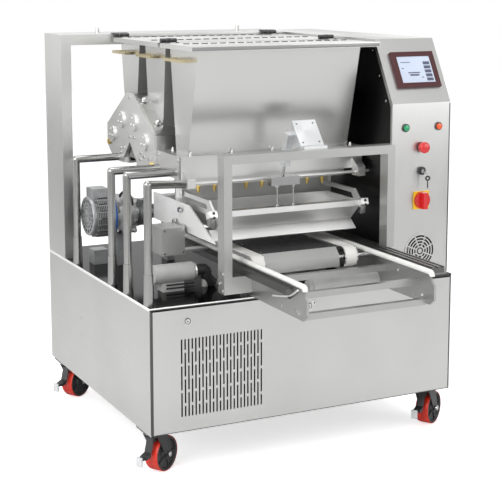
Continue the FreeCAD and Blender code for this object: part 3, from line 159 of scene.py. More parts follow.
def polished(name, colour, rough, edge=1.0):
    """Smooth bright metal; edge below 1 dulls it where it is seen at a low angle."""
    finish = Finish(name, colour, rough, 1.0)
    finish.shader.inputs["Specular Tint"].default_value = (edge, edge, edge, 1)
    finish.tint(finish.noise(9, 3), 0.96, 1.03)
    finish.vary_rough(finish.noise(60, 4), 0.03)
    return finish.material


def enamel(name, colour, rough, grain=350, depth=0.12):
    """Paint or enamel with a faint orange-peel surface."""
    finish = Finish(name, colour, rough)
    finish.tint(finish.noise(14, 3), 0.9, 1.08)
    finish.vary_rough(finish.noise(40, 3), 0.06)
    finish.bump(finish.noise(grain, 2), depth, 0.0005)
    return finish.material


def moulded(name, colour, rough, coat=0.0):
    """Moulded plastic with a fine matt grain."""
    finish = Finish(name, colour, rough)
    finish.tint(finish.noise(20, 2), 0.94, 1.05)
    finish.vary_rough(finish.noise(120, 3), 0.05)
    finish.bump(finish.noise(900, 2), 0.08, 0.0003)
    finish.shader.inputs["Coat Weight"].default_value = coat
    finish.shader.inputs["Coat Roughness"].default_value = 0.08
    return finish.material


def belting(name, colour):
    """White woven belting, a fine weave under a matt skin."""
    finish = Finish(name, colour, 0.6)
    weave = finish.add("ShaderNodeTexChecker")
    weave.inputs["Scale"].default_value = 700
    weave.inputs["Color1"].default_value = (1, 1, 1, 1)
    weave.inputs["Color2"].default_value = (0.4, 0.4, 0.4, 1)
    finish.link(finish.place, weave.inputs["Vector"])
    finish.tint(finish.noise(25, 3), 0.93, 1.03)
    finish.bump(weave.outputs["Fac"], 0.15, 0.0004)
    return finish.material


def cast(name, colour, rough):
    """Cast metal with a pebbled skin, a little darker in its hollows."""
    finish = Finish(name, colour, rough, 0.55)
    grain = finish.noise(220, 4, 0.6)
    finish.tint(finish.noise(30, 4), 0.82, 1.12)
    finish.vary_rough(grain, 0.1)
    finish.bump(grain, 0.3, 0.0008)
    return finish.material


def tread_rubber(name, colour):
    """Cast tread, worn a little darker in patches."""
    finish = Finish(name, colour, 0.42)
    finish.tint(finish.noise(18, 4), 0.82, 1.1)
    finish.vary_rough(finish.noise(70, 3), 0.1)
    finish.bump(finish.noise(260, 3), 0.15, 0.0006)
    return finish.material


def cheek_metal():
    """Milled plate with broad faint patches, as handling leaves it."""
    finish = Finish("cheek_steel", (0.44, 0.44, 0.435), 0.34, 1.0)
    finish.tint(finish.noise(9, 2, 0.5), 0.96, 1.03)
    finish.vary_rough(finish.noise(60, 4), 0.04)
    finish.bump(finish.noise(300, 3), 0.015, 0.0005)
    return finish.material


def display_glass():
    """Lit glass with a clear coat."""
    finish = Finish("display_glass", (0.48, 0.54, 0.66), 0.1)
    finish.tint(finish.noise(7, 2), 0.92, 1.1)
    finish.shader.inputs["Emission Color"].default_value = (0.62, 0.70, 0.88, 1)
    finish.shader.inputs["Emission Strength"].default_value = 0.1
    finish.shader.inputs["Coat Weight"].default_value = 0.8
    finish.shader.inputs["Coat Roughness"].default_value = 0.03
    return finish.material


STEEL = (0.56, 0.56, 0.55)
FINISHES = {material.name: material for material in (
    brushed("panel_steel", STEEL, 0.36, (1, 1, 60)),
    brushed("upright_steel", STEEL, 0.34, (60, 60, 1)),
    brushed("lid_steel", (0.58, 0.58, 0.57), 0.32, (1, 60, 60)),
    brushed("hopper_steel", (0.56, 0.56, 0.548), 0.27, (8, 8, 260), 0.004, 0.85),
    brushed("housing_steel", (0.55, 0.55, 0.54), 0.3, (1, 60, 60), 0.05),
    brushed("plate_steel", (0.72, 0.72, 0.71), 0.36, (1, 60, 60), 0.05),
    # side_steel: steel painted lighter than the rest, standing in for faces lit from the left
    brushed("side_steel", (0.88, 0.88, 0.87), 0.45, (1, 60, 60), 0.05),
    brushed("station_steel", (0.84, 0.84, 0.83), 0.45, (1, 60, 60), 0.03, 0.6),
    brushed("head_steel", (0.62, 0.62, 0.61), 0.36, (1, 60, 60), 0.04),
    brushed("gantry_steel", (0.44, 0.44, 0.43), 0.36, (60, 60, 1), 0.05, 0.85),
    # shade_steel: dark steel; on the front lid's front face and in the head's notch it is painted shade
    brushed("shade_steel", (0.25, 0.25, 0.25), 0.45, (1, 60, 60), 0.05),
    # liner_dark: near black, painted shade over the console's left wall
    brushed("liner_dark", (0.03, 0.03, 0.03), 0.34, (1, 1, 60), 0.08),
    # splash_grey: a pale diffuse grey, painted light that lifts the splash cover out of the shade it sits in
    enamel("splash_grey", (0.80, 0.80, 0.79), 0.5),
    polished("link_steel", (0.40, 0.40, 0.40), 0.25),
    brushed("tray_steel", (0.74, 0.74, 0.73), 0.42, (1, 60, 60), 0.05),
    polished("deck_steel", (0.07, 0.071, 0.072), 0.12, 0.62),
    polished("tube_steel", (0.34, 0.34, 0.335), 0.2),
    # edge_dark: dark steel; down the cabinet's front left corner and the console's front edge it is painted
    # shade
    polished("edge_dark", (0.10, 0.10, 0.10), 0.3),
    polished("bright_steel", (0.62, 0.62, 0.62), 0.12),
    polished("nozzle_brass", (0.82, 0.60, 0.20), 0.32),
    polished("handle_gold", (0.56, 0.48, 0.30), 0.28),
    brushed("rail_aluminium", (0.15, 0.15, 0.148), 0.42, (50, 1, 50)),
    brushed("cylinder_aluminium", (0.70, 0.71, 0.72), 0.42, (50, 50, 1), 0.06),
    moulded("white_cord", (0.78, 0.78, 0.75), 0.4),
    belting("white_belting", (0.75, 0.74, 0.71)),
    enamel("bed_black", (0.010, 0.010, 0.011), 0.6),
    enamel("hinge_black", (0.02, 0.02, 0.022), 0.4),
    enamel("fork_black", (0.028, 0.028, 0.03), 0.36),
    enamel("frame_grey", (0.12, 0.12, 0.12), 0.5),
    tread_rubber("tread_red", (0.68, 0.030, 0.012)),
    moulded("pedal_grey", (0.60, 0.61, 0.62), 0.5),
    moulded("bezel_maroon", (0.050, 0.007, 0.009), 0.6),
    display_glass(),
    moulded("button_green", (0.01, 0.30, 0.12), 0.25, 0.5),
    moulded("button_orange", (0.83, 0.10, 0.008), 0.25, 0.5),
    moulded("stop_red", (0.62, 0.012, 0.015), 0.3, 0.5),
    moulded("switch_yellow", (0.88, 0.55, 0.008), 0.35, 0.2),
    cast("gearcase_grey", (0.34, 0.345, 0.35), 0.36),
    enamel("motor_grey", (0.42, 0.42, 0.41), 0.4),
    enamel("flange_blue", (0.03, 0.10, 0.30), 0.4),
    cast("hub_grey", (0.07, 0.07, 0.072), 0.5),
    moulded("hose_black", (0.02, 0.02, 0.02), 0.45),
    # recess_dark: near black, painted shade in sockets, slots, gaps between fins, seams and holes
    enamel("recess_dark", (0.03, 0.03, 0.03), 0.5),
    cheek_metal(),
    moulded("mark_grey", (0.09, 0.10, 0.16), 0.3),
)}
NODE_FINISH = {
    "base_frame": "frame_grey", "cabinet_shell": "panel_steel", "deck_plate": "deck_steel",
    "front_panel": "panel_steel", "console_shell": "upright_steel", "hmi_housing": "bezel_maroon",
    "hmi_screen": "display_glass", "start_button": "button_green", "stop_button": "button_orange",
    "switch_bezels": "hinge_black", "emergency_stop": "stop_red", "key": "bright_steel",
    "main_switch_plate": "switch_yellow", "main_switch_knob": "stop_red", "fan_grille": "upright_steel",
    "fan_rotor": "hinge_black", "arch_frame": "upright_steel", "hopper_front": "hopper_steel",
    "hopper_middle": "hopper_steel", "hopper_rear": "hopper_steel", "hopper_handles": "handle_gold",
    "lid_front": "lid_steel", "lid_rear": "lid_steel", "lid_hinges": "hinge_black",
    "head_block": "head_steel", "nozzles": "nozzle_brass", "guide_rod": "plate_steel",
    "gear_housing": "housing_steel", "gear_side_plate": "plate_steel", "conduits": "tube_steel",
    "conveyor_frame": "cheek_steel", "guide_rails": "rail_aluminium", "guide_cords": "white_cord",
    "belts": "white_belting", "roller_front": "bright_steel", "roller_drive": "bright_steel",
    "conveyor_bed": "bed_black", "gantry": "gantry_steel", "lift_cylinder": "cylinder_aluminium",
    "lift_yoke": "link_steel", "drip_tray": "tray_steel", "station_frame": "station_steel",
    "gearmotor": "gearcase_grey", "drive_shaft": "bright_steel", "belt_motor": "motor_grey",
}
SIDES = ("front_left", "front_right", "rear_left", "rear_right")
for side in SIDES:
    NODE_FINISH[f"fork_{side}"] = "fork_black"
    NODE_FINISH[f"wheel_{side}"] = "hub_grey"
    NODE_FINISH[f"pedal_{side}"] = "fork_black"
for side in ("left", "middle", "right"):
    NODE_FINISH[f"lock_{side}"] = "bright_steel"
for node, finish in NODE_FINISH.items():
    solid = frame["nodes"][node]
    solid.data.materials.clear()
    solid.data.materials.append(FINISHES[finish])


# Making and placing pieces
def settle(item, body, finish):
    """Gives a piece its finish and says what it rides on."""
    if finish:
        item.data.materials.clear()
        item.data.materials.append(FINISHES[finish])
    bpy.context.scene.collection.objects.link(item)
    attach(item, body)
    return item


def smooth(mesh, angle=35):
    for face in mesh.polygons:
        face.use_smooth = True
    mesh.set_sharp_from_angle(angle=math.radians(angle))


class Steps(Nodes):
    """A small geometry tree with named sizes that ends in Realize Instances and Set Material."""

    def __init__(self, name, **sizes):
        super().__init__(bpy.data.node_groups.new(name, "GeometryNodeTree"))
        self.tree.interface.new_socket("Geometry", in_out="INPUT", socket_type="NodeSocketGeometry")
        for size, value in sizes.items():
            socket = self.tree.interface.new_socket(size, in_out="INPUT", socket_type="NodeSocketFloat")
            socket.default_value = value
        self.tree.interface.new_socket("Turn", in_out="INPUT", socket_type="NodeSocketVector")
        self.tree.interface.new_socket("Geometry", in_out="OUTPUT", socket_type="NodeSocketGeometry")
        self.start = self.add("NodeGroupInput")
        self.end = self.add("NodeGroupOutput")

    def size(self, name):
        return self.start.outputs[name]

    def times(self, value, factor):
        node = self.add("ShaderNodeMath", operation="MULTIPLY")
        self.link(value, node.inputs[0])
        node.inputs[1].default_value = factor
        return node.outputs[0]

    def triple(self, **sizes):
        """A vector whose parts are numbers or sizes of the tree."""
        node = self.add("ShaderNodeCombineXYZ")
        for name, value in sizes.items():
            if isinstance(value, float):
                node.inputs[name].default_value = value
            else:
                self.link(value, node.inputs[name])
        return node.outputs[0]

    def moved(self, mesh, place):
        move = self.add("GeometryNodeTransform")
        self.link(mesh, move.inputs["Geometry"])
        self.link(place, move.inputs["Translation"])
        return move.outputs["Geometry"]

    def barrel(self, sides, radius, depth, lift):
        """A short cylinder, its middle lifted along its axis."""
        node = self.add("GeometryNodeMeshCylinder")
        node.inputs["Vertices"].default_value = sides
        self.link(radius, node.inputs["Radius"])
        self.link(depth, node.inputs["Depth"])
        return self.moved(node.outputs["Mesh"], self.triple(Z=lift))

    def finish(self, parts):
        """parts: (geometry, finish name) pairs that make one repeated piece."""
        join = self.add("GeometryNodeJoinGeometry")
        for geometry, finish in parts:
            paint = self.add("GeometryNodeSetMaterial")
            paint.inputs["Material"].default_value = FINISHES[finish]
            self.link(geometry, paint.inputs["Geometry"])
            self.link(paint.outputs[0], join.inputs[0])
        spread = self.add("GeometryNodeInstanceOnPoints")
        turn = self.add("FunctionNodeEulerToRotation")
        self.link(self.size("Turn"), turn.inputs[0])
        self.link(self.start.outputs["Geometry"], spread.inputs["Points"])
        self.link(join.outputs[0], spread.inputs["Instance"])
        self.link(turn.outputs[0], spread.inputs["Rotation"])
        real = self.add("GeometryNodeRealizeInstances")
        self.link(spread.outputs[0], real.inputs[0])
        self.link(real.outputs[0], self.end.inputs["Geometry"])
        return self.tree


def screw_steps():
    """A round head with a crown, and a hexagon socket darkened with painted shade."""
    steps = Steps("button_screws", Radius=0.004, Height=0.003)
    radius, height = steps.size("Radius"), steps.size("Height")
    head = steps.barrel(16, radius, height, steps.times(height, 0.5))
    crown = steps.barrel(16, steps.times(radius, 0.72), steps.times(height, 0.4), steps.times(height, 1.1))
    socket = steps.barrel(6, steps.times(radius, 0.42), steps.times(height, 0.1), steps.times(height, 1.31))
    return steps.finish([(head, "bright_steel"), (crown, "bright_steel"), (socket, "recess_dark")])


def louvre_steps():
    """A pressed slot: a dark mouth of painted shade with a low steel hood behind it."""
    steps = Steps("louvres", Long=0.024, Deep=0.009)
    parts = []
    for share, tall, back, lift, finish in ((0.86, 0.0024, 0.0, 0.0012, "recess_dark"),
                                            (1.0, 0.0028, 0.45, 0.0014, "lid_steel")):
        block = steps.add("GeometryNodeMeshCube")
        length, depth = steps.times(steps.size("Long"), share), steps.times(steps.size("Deep"), 0.62)
        steps.link(steps.triple(X=length, Y=depth, Z=tall), block.inputs["Size"])
        place = steps.triple(Y=steps.times(steps.size("Deep"), back), Z=lift)
        parts.append((steps.moved(block.outputs["Mesh"], place), finish))
    return steps.finish(parts)


def fin_steps():
    """Thin round cooling bands round a dark core of painted shade that shows in the gaps between them."""
    steps = Steps("cooling_bands", Radius=0.08, Height=0.003)
    radius, height = steps.size("Radius"), steps.size("Height")
    band = steps.barrel(48, radius, height, steps.times(height, 0.5))
    core_shade = steps.barrel(48, steps.times(radius, 0.985), steps.times(height, 1.6), steps.times(height, 0.5))
    return steps.finish([(band, "gearcase_grey"), (core_shade, "recess_dark")])


def nut_steps(name, finish, wide, thick):
    """A hexagon on a washer; wide and thick are the washer's shares of the nut's radius and height."""
    steps = Steps(name, Radius=0.009, Height=0.007)
    radius, height = steps.size("Radius"), steps.size("Height")
    nut = steps.barrel(6, radius, height, steps.times(height, 0.5))
    washer = steps.barrel(20, steps.times(radius, wide), steps.times(height, thick),
                          steps.times(height, thick / 2))
    return steps.finish([(nut, finish), (washer, finish)])


SCREWS = screw_steps()
NUTS = nut_steps("hex_nuts", "bright_steel", 1.2, 0.2)
COLLARS = nut_steps("hex_collars", "nozzle_brass", 1.12, 0.18)
FACING_LEFT, FACING_FRONT, FACING_UP = (0, -math.pi / 2, 0), (math.pi / 2, 0, 0), (0, 0, 0)
FACING_RIGHT = (0, math.pi / 2, 0)


def repeat(name, tree, places, turn, body, slot, **sizes):
    """Sets one small piece at each place, as one plain mesh."""
    mesh = bpy.data.meshes.new(f"{name}_places")
    mesh.from_pydata([tuple(place) for place in places], [], [])
    holder = bpy.data.objects.new(f"{name}_holder", mesh)
    bpy.context.scene.collection.objects.link(holder)
    modifier = holder.modifiers.new("steps", "NODES")
    modifier.node_group = tree
    words = {item.name: item.identifier for item in tree.interface.items_tree
             if item.item_type == "SOCKET" and item.in_out == "INPUT"}
    for size, value in sizes.items():
        modifier[words[size]] = value
    modifier[words["Turn"]] = turn
    ready = holder.evaluated_get(bpy.context.evaluated_depsgraph_get())
    plain = bpy.data.meshes.new_from_object(ready)
    plain.name = name
    bpy.data.objects.remove(holder)
    smooth(plain, 30)
    return settle(bpy.data.objects.new(name, plain), body, None)


def mesh_of(name, form, angle=None):
    """Turns a finished form into a mesh."""
    mesh = bpy.data.meshes.new(name)
    form.to_mesh(mesh)
    form.free()
    if angle:
        smooth(mesh, angle)
    return mesh


def spun(name, profile, centre, axis, body, finish, steps=64):
    """A closed ring or cap: profile holds (radius, distance along the axis) pairs in millimetres."""
    form = bmesh.new()
    points = [form.verts.new((radius * MM, 0, along * MM)) for radius, along in profile]
    ring = profile[0][0] > 0
    edges = [form.edges.new(pair) for pair in zip(points, points[1:])]
    if ring:
        edges.append(form.edges.new((points[-1], points[0])))
    bmesh.ops.spin(form, geom=points + edges, cent=(0, 0, 0), axis=(0, 0, 1), dvec=(0, 0, 0),
                   angle=2 * math.pi, steps=steps, use_duplicate=False)
    bmesh.ops.remove_doubles(form, verts=form.verts[:], dist=0.00002)
    bmesh.ops.recalc_face_normals(form, faces=form.faces[:])
    turn = Vector((0, 0, 1)).rotation_difference(Vector(axis)).to_matrix().to_4x4()
    form.transform(Matrix.Translation(centre) @ turn)
    return settle(bpy.data.objects.new(name, mesh_of(name, form, 38)), body, finish)


def bar(name, corner, size, body, finish, bevel=1.0, turn=None):
    """A bar or plate with broken edges; corner and size in cabinet millimetres."""
    form = bmesh.new()
    bmesh.ops.create_cube(form, size=1)
    bmesh.ops.scale(form, vec=Vector(size) * MM, verts=form.verts)
    bmesh.ops.bevel(form, geom=form.edges[:], offset=bevel * MM, segments=2, affect="EDGES", profile=0.5)
    centre = spot(*(a + b / 2 for a, b in zip(corner, size)))
    form.transform(Matrix.Translation(centre) @ (turn.to_4x4() if turn else Matrix()))
    return settle(bpy.data.objects.new(name, mesh_of(name, form, 30)), body, finish)


def sheet(name, outline, start, thick, body, finish):
    """A flat sheet across the machine: outline holds (y, z) corners, start and thick run along x."""
    form = bmesh.new()
    face = form.faces.new([form.verts.new(spot(start, y, z)) for y, z in outline])
    moved = bmesh.ops.extrude_face_region(form, geom=[face])["geom"]
    bmesh.ops.translate(form, verts=[v for v in moved if isinstance(v, bmesh.types.BMVert)],
                        vec=(thick * MM, 0, 0))
    bmesh.ops.recalc_face_normals(form, faces=form.faces[:])
    return settle(bpy.data.objects.new(name, mesh_of(name, form)), body, finish)


def tube(name, points, radius, body, finish, order=3):
    """A bent round bar or hose through the given points."""
    curve = bpy.data.curves.new(name, "CURVE")
    curve.dimensions = "3D"
    curve.bevel_depth = radius * MM
    curve.bevel_resolution = 6
    curve.use_fill_caps = True
    spline = curve.splines.new("NURBS")
    spline.points.add(len(points) - 1)
    for point, place in zip(spline.points, points):
        point.co = (*spot(*place), 1)
    spline.order_u = order
    spline.use_endpoint_u = True
    spline.resolution_u = 12
    item = bpy.data.objects.new(name, curve)
    bpy.context.scene.collection.objects.link(item)
    plain = bpy.data.meshes.new_from_object(item.evaluated_get(bpy.context.evaluated_depsgraph_get()))
    bpy.data.objects.remove(item)
    plain.name = name
    smooth(plain, 40)
    return settle(bpy.data.objects.new(name, plain), body, finish)


# Casters
def wheel_treads():
    """Rounded treads over the dished wheels, with a thin moulding line round the middle."""
    for side in SIDES:
        low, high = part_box(f"wheel_{side}")
        centre = (low + high) / 2
        joint = next(j for j in frame["joints"] if j["child"] == f"wheel_{side}")
        half = [(59.4, 25.6), (60.6, 25.4), (61.7, 23.4), (62.2, 20), (62.25, 8), (62.2, 0.6)]
        profile = half + [(61.9, 0)] + [(radius, -along) for radius, along in reversed(half)]
        profile += [(58.6, -22), (58.6, 22)]
        spun(f"tread_{side}", profile, centre, joint["axis"], f"wheel_{side}", "tread_red")
        for face in (-1, 1):
            place = centre + Vector(joint["axis"]) * face * 34.5 * MM
            spun(f"axle_nut_{side}_{'near' if face < 0 else 'far'}",
                 [(0, 6), (4, 6), (6, 5), (9, 4.5), (9.5, 0), (0, 0)], place,
                 Vector(joint["axis"]) * face, f"fork_{side}", "bright_steel", 24)


def brake_pads():
    """Upright foot pads on the ends of the brake levers."""
    for side in SIDES:
        low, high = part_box(f"wheel_{side}")
        hub = (low + high) / 2
        points = [v.co for v in frame["nodes"][f"pedal_{side}"].data.vertices]
        out = sum(points, Vector()) / len(points) - hub
        out.z = 0
        out.normalize()
        reach = max(out.dot(p - hub) for p in points)
        ends = [p for p in points if out.dot(p - hub) > reach - 2 * MM]
        tip = (sum(ends, Vector()) / len(ends) - CORNER) / MM
        turn = Matrix.Rotation(math.atan2(out.y, out.x), 3, "Z")
        for name, along, lift, size, finish in (("lever", 8, -1, (26, 20, 6), "fork_black"),
                                                ("pad", 20, -6, (7, 24, 33), "pedal_grey")):
            middle = tip + out * along + Vector((0, 0, lift))
            corner = [m - s / 2 for m, s in zip(middle, size)]
            bar(f"brake_{name}_{side}", corner, size, f"pedal_{side}", finish, 1.5, turn)


# Console
def console_fittings():
    """Caps, rims and skirts of the buttons, and the main switch's collar."""
    back = (0, 1, 0)
    stop_face = front_centre("emergency_stop")
    mushroom = [(0, -0.6), (9, -0.6), (15, 0.4), (19, 2.6), (20.3, 5.5), (20.3, 10.5), (18.5, 13.5),
                (14, 14.6), (0, 14.6)]
    spun("stop_cap", mushroom, stop_face, back, "emergency_stop", "stop_red")
    for name, finish, slot in (("start_button", "button_green", "green"),
                               ("stop_button", "button_orange", "orange")):
        centre = front_centre(name)
        spun(f"{name}_cap", [(0, -0.4), (8.6, -0.4), (10.4, 0.2), (11.1, 1.2), (11.1, 3.6), (0, 3.6)],
             centre, back, name, finish, 40)
        rim = centre + Vector((0, 4.2, 0)) * MM
        spun(f"{name}_rim", [(12.2, 0), (14.6, 0), (15.2, 0.6), (15.2, 3.4), (12.2, 3.4)], rim, back,
             MACHINE, "edge_dark", 40)
    spun("stop_skirt", [(16.4, 13.5), (19.6, 13.5), (19.6, 20.2), (16.4, 20.2)], stop_face, back,
         "emergency_stop", "stop_red")
    spun("main_switch_collar", [(22, -0.35), (31, -0.35), (31.6, 0.2), (31.6, 0.6), (22, 0.6)],
         front_centre("main_switch_plate"), back, MACHINE, "stop_red", 48)


def display_marks():
    """Plain pads and bars on the lit display, as a generic control page."""
    low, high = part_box("hmi_screen")
    front = max(frame["nodes"]["hmi_screen"].data.polygons, key=lambda face: -face.normal.y * face.area)
    up = Vector((0, front.normal.z, -front.normal.y))
    base = front.center + front.normal * 0.25 * MM
    wide = high.x - low.x
    tall = 92 * MM
    corner = base - up * (base.z - low.z) / up.z
    corner.x = low.x
    form = bmesh.new()
    blocks = [(0.76, 0.08 + 0.175 * i, 0.2, 0.135) for i in range(5)]
    blocks += [(0.24, 0.42, 0.36, 0.05), (0.28, 0.31, 0.28, 0.07), (0.08, 0.62, 0.06, 0.04),
               (0.62, 0.22, 0.06, 0.04), (0.08, 0.88, 0.30, 0.03)]
    for x, z, w, h in blocks:
        ends = [(x, z), (x + w, z), (x + w, z + h), (x, z + h)]
        form.faces.new([form.verts.new(corner + Vector((a * wide, 0, 0)) + up * b * tall) for a, b in ends])
    marks = bpy.data.objects.new("display_marks", mesh_of("display_marks", form))
    settle(marks, MACHINE, "mark_grey")


def hanging_key():
    """The spare key that hangs from the lock barrel on a small ring."""
    spun("key_ring", [(6.4, -0.8), (7.2, -1.1), (8, -0.8), (8, 0.8), (7.2, 1.1), (6.4, 0.8)],
         spot(1071, -14, 824), (0.5, 0.85, 0.2), "key", "bright_steel", 32)
    spun("key_bow", [(4, -1.2), (9.5, -1.2), (10, 0), (9.5, 1.2), (4, 1.2)], spot(1078, -12, 805),
         (0.25, 1, 0), "key", "hinge_black", 28)
    bar("key_blade", (1075.5, -13, 770), (5, 2, 28), "key", "edge_dark", 0.6)


def cabinet_edges():
    """The side door's edge, a dark strip of painted shade down the cabinet's front left corner, bright strips
    of painted highlight along the deck's left and front edges, and the dark band on the left rail.
    """
    bar("console_side_door", (1192.5, 26, 446), (5, 1020, 625), MACHINE, "upright_steel", 1.5)
    bar("corner_shade_strip", (0.8, -1.2, 3), (11, 4, 426), MACHINE, "edge_dark", 1.2)
    bar("deck_edge_left_highlight", (-0.8, 0, 431.5), (3, 1068, 9.2), MACHINE, "side_steel", 0.8)
    bar("deck_edge_front_highlight", (0, -0.9, 436), (935, 3, 4.6), MACHINE, "side_steel", 0.8)
    bar("rail_band", (342, 212, 548.5), (12, 424, 3), MACHINE, "recess_dark", 0.8)


def console_trim():
    """A dark ring of painted shade for the grille's eye, a dark strip of painted shade down the console's
    front edge, and a dark sheet of painted shade over its left wall.
    """
    spun("grille_eye_shade", [(8.5, -0.3), (13.5, -0.3), (13.5, 0.2), (8.5, 0.2)],
         front_centre("fan_grille") + Vector((3 * MM, 0, 0)), (0, 1, 0), MACHINE, "recess_dark", 40)
    low, high = [(corner - CORNER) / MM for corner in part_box("console_shell")]
    bar("console_edge_shade", (high.x - 4.6, low.y - 1, 446), (5, 4, 625), MACHINE, "edge_dark", 1)
    front, back = low.y + 14, 492
    sheet("console_wall_shade", [(front, 441.5), (front, 1066), (front + 112, 1270), (back, 1270), (back, 441.5)],
          low.x - 1.5, 1.4, MACHINE, "liner_dark")


def lock_faces():
    """A dark rim and a three-sided core of painted shade on each lock."""
    for name in ("lock_left", "lock_middle", "lock_right"):
        face = front_centre(name)
        spun(f"{name}_rim", [(8.6, -0.4), (10.6, -0.4), (11, 0.3), (8.2, 0.3)], face, (0, 1, 0), name,
             "edge_dark", 36)
        spun(f"{name}_core", [(0, -0.3), (3.6, -0.3), (4, 0.3), (0, 0.3)], face, (0, 1, 0), name,
             "recess_dark", 3)


# Lids
def lid_fittings():
    """Pressed louvres over the rows of slots, and sleeves round the hinges' middle knuckles."""
    louvre = louvre_steps()
    first, pitch, count, top = 261, 35, 19, 1292
    for lid, rows in (("lid_front", (276,)), ("lid_rear", (572, 833))):
        places = [spot(first + pitch * i, y, top) for y in rows for i in range(count)]
        repeat(f"{lid}_louvres", louvre, places, FACING_UP, lid, "brushed", Long=0.024, Deep=0.010)
    # A dark strip of painted shade on the front lid's front face.
    bar("lid_front_shade", (207, 103.9, 1277), (733, 1.4, 12.5), "lid_front", "shade_steel", 0.5)
    for lid, y in (("lid_front", 392), ("lid_rear", 861)):
        for x in (211, 851):
            spun(f"{lid}_sleeve_{x}", [(8.1, -9.2), (8.9, -9.2), (8.9, 9.2), (8.1, 9.2)],
                 spot(x + 30, y, 1300), (1, 0, 0), lid, "hinge_black", 32)
            bar(f"{lid}_leaf_{x}", (x + 3, y - 34, 1292.1), (54, 22, 3), lid, "hinge_black", 0.8)


# Heads
def head_fittings():
    """Splash cover behind the nozzles, painted light to lift it out of its shade, bush ends, dark seams, a
    dark plate of painted shade in the notch, and dome nuts on the housing's slope.
    """
    bar("splash_cover", (272, 409.2, 708), (646, 1.2, 116), MACHINE, "splash_grey", 0.4)
    for i, (y, z) in enumerate(((428.5, 850), (864, 892))):
        spun(f"bush_end_{i}", [(0, 8.2), (9, 8.2), (12.8, 6.6), (12.8, 0.3), (0, 0.3)], spot(188, y, z),
             (-1, 0, 0), MACHINE, "nozzle_brass", 32)
    bar("head_seam", (201.5, 202, 829), (1.8, 1.6, 79), MACHINE, "edge_dark", 0.4)
    bar("cover_seam", (199.2, 205, 829), (1.4, 1.8, 79), MACHINE, "edge_dark", 0.4)
    sheet("notch_shade", [(592, 850), (694, 850), (643, 935)], 203, 2, MACHINE, "shade_steel")
    for i, (x, y, z) in enumerate(((216, 566, 1074), (226, 462, 1001))):
        spun(f"slope_nut_{i}", [(0, 15), (5, 14), (9, 9), (10, 3), (13, 2.6), (13, 0), (0, 0)], spot(x, y, z),
             (0, -0.57, 0.82), MACHINE, "bright_steel", 32)


# Motors
MOTOR_Y, MOTOR_Z = 700, 634
BELT_MOTOR_Y, BELT_MOTOR_Z = 220, 500


def motor_spot(x, out=0, angle=0):
    """A place on the gear motor's axis, or beside it at a radius and an angle."""
    return spot(x, MOTOR_Y + out * math.cos(angle), MOTOR_Z + out * math.sin(angle))


def motor_cowl(face):
    """The fan cowl's rim, rings and spokes over a dark disc of painted shade for its inside."""
    rings = [("cowl_rim", [(64, -3), (72, -3), (74, 0), (74, 12), (72.5, 14), (64, 14)], "gearcase_grey")]
    for i, radius in enumerate((18, 32, 46)):
        profile = [(radius, -2.5), (radius + 5, -2.5), (radius + 5, 0.2), (radius, 0.2)]
        rings.append((f"cowl_ring_{i}", profile, "gearcase_grey"))
    rings.append(("cowl_inside_shade", [(0, -0.6), (63, -0.6), (63, 0.3), (0, 0.3)], "recess_dark"))
    for name, profile, finish in rings:
        spun(name, profile, motor_spot(face), (1, 0, 0), MACHINE, finish)
    wide, long = 3.6, 128
    for i in range(8):
        bar(f"cowl_spoke_{i}", (face - 3, MOTOR_Y - wide / 2, MOTOR_Z - long / 2), (3, wide, long), MACHINE,
            "gearcase_grey", 0.6, Matrix.Rotation(math.pi / 8 * i, 3, "X"))


def gearmotor_fittings():
    """Cowl, cooling bands, flange, gear case cover and stage collars of the gear motor, and its lead."""
    cowl_face, case_x = 36, 167
    motor_cowl(cowl_face)
    spun("flange_ring", [(72, -6), (83.5, -6), (84.5, -4), (84.5, 4), (83.5, 6), (72, 6)],
         motor_spot(cowl_face + 84), (1, 0, 0), MACHINE, "flange_blue")
    places = [motor_spot(cowl_face + 20 + 7 * i) for i in range(8)]
    repeat("motor_bands", fin_steps(), places, FACING_RIGHT, MACHINE, "cast_grey", Radius=0.0805,
           Height=0.0025)
    cover = spot(case_x, 633, MOTOR_Z)
    spun("case_cover", [(0, 6), (34, 6), (40, 4), (46, 0), (0, 0)], cover, (0, -1, 0), MACHINE,
         "gearcase_grey")
    spun("case_cover_hub", [(0, 16), (14, 16), (16, 14), (18, 6), (0, 6)], cover, (0, -1, 0), MACHINE,
         "bright_steel")
    angles = [math.pi / 6 + k * math.pi / 3 for k in range(6)]
    ring = [spot(case_x + 40 * math.cos(a), 632, MOTOR_Z + 40 * math.sin(a)) for a in angles]
    repeat("case_nuts", NUTS, ring, FACING_FRONT, MACHINE, "cast_grey", Radius=0.007, Height=0.006)
    corners = [spot(case_x + across, 634.5, MOTOR_Z + up) for across in (-31, 31) for up in (-57, 57)]
    repeat("case_corner_nuts", NUTS, corners, FACING_FRONT, MACHINE, "cast_grey", Radius=0.008, Height=0.008)
    for i, x in enumerate((214, 232, 250, 268)):
        wide = 56 - 3 * i
        spun(f"stage_collar_{i}", [(46, -3), (wide, -3), (wide + 1, 0), (wide, 3), (46, 3)], motor_spot(x),
             (1, 0, 0), MACHINE, "gearcase_grey" if i % 2 else "bright_steel", 40)
    # Dark bars of painted shade in the gaps between the motor's fins.
    for i in range(9):
        angle = math.radians(100 + 20 * i)
        out = Vector((0, math.cos(angle), math.sin(angle)))
        place = Vector((92, MOTOR_Y, MOTOR_Z)) + out * 79
        size = (58, 3, 7)
        bar(f"motor_gap_shade_{i}", [a - b / 2 for a, b in zip(place, size)], size, MACHINE, "recess_dark",
            0.6, Matrix.Rotation(angle - math.pi / 2, 3, "X"))
    lead = [(150, 660, 706), (150, 640, 730), (176, 628, 720), (190, 632, 690), (196, 660, 600),
            (180, 664, 520), (172, 668, 448), (172, 668, 441)]
    tube("motor_lead", lead, 5, MACHINE, "hose_black")


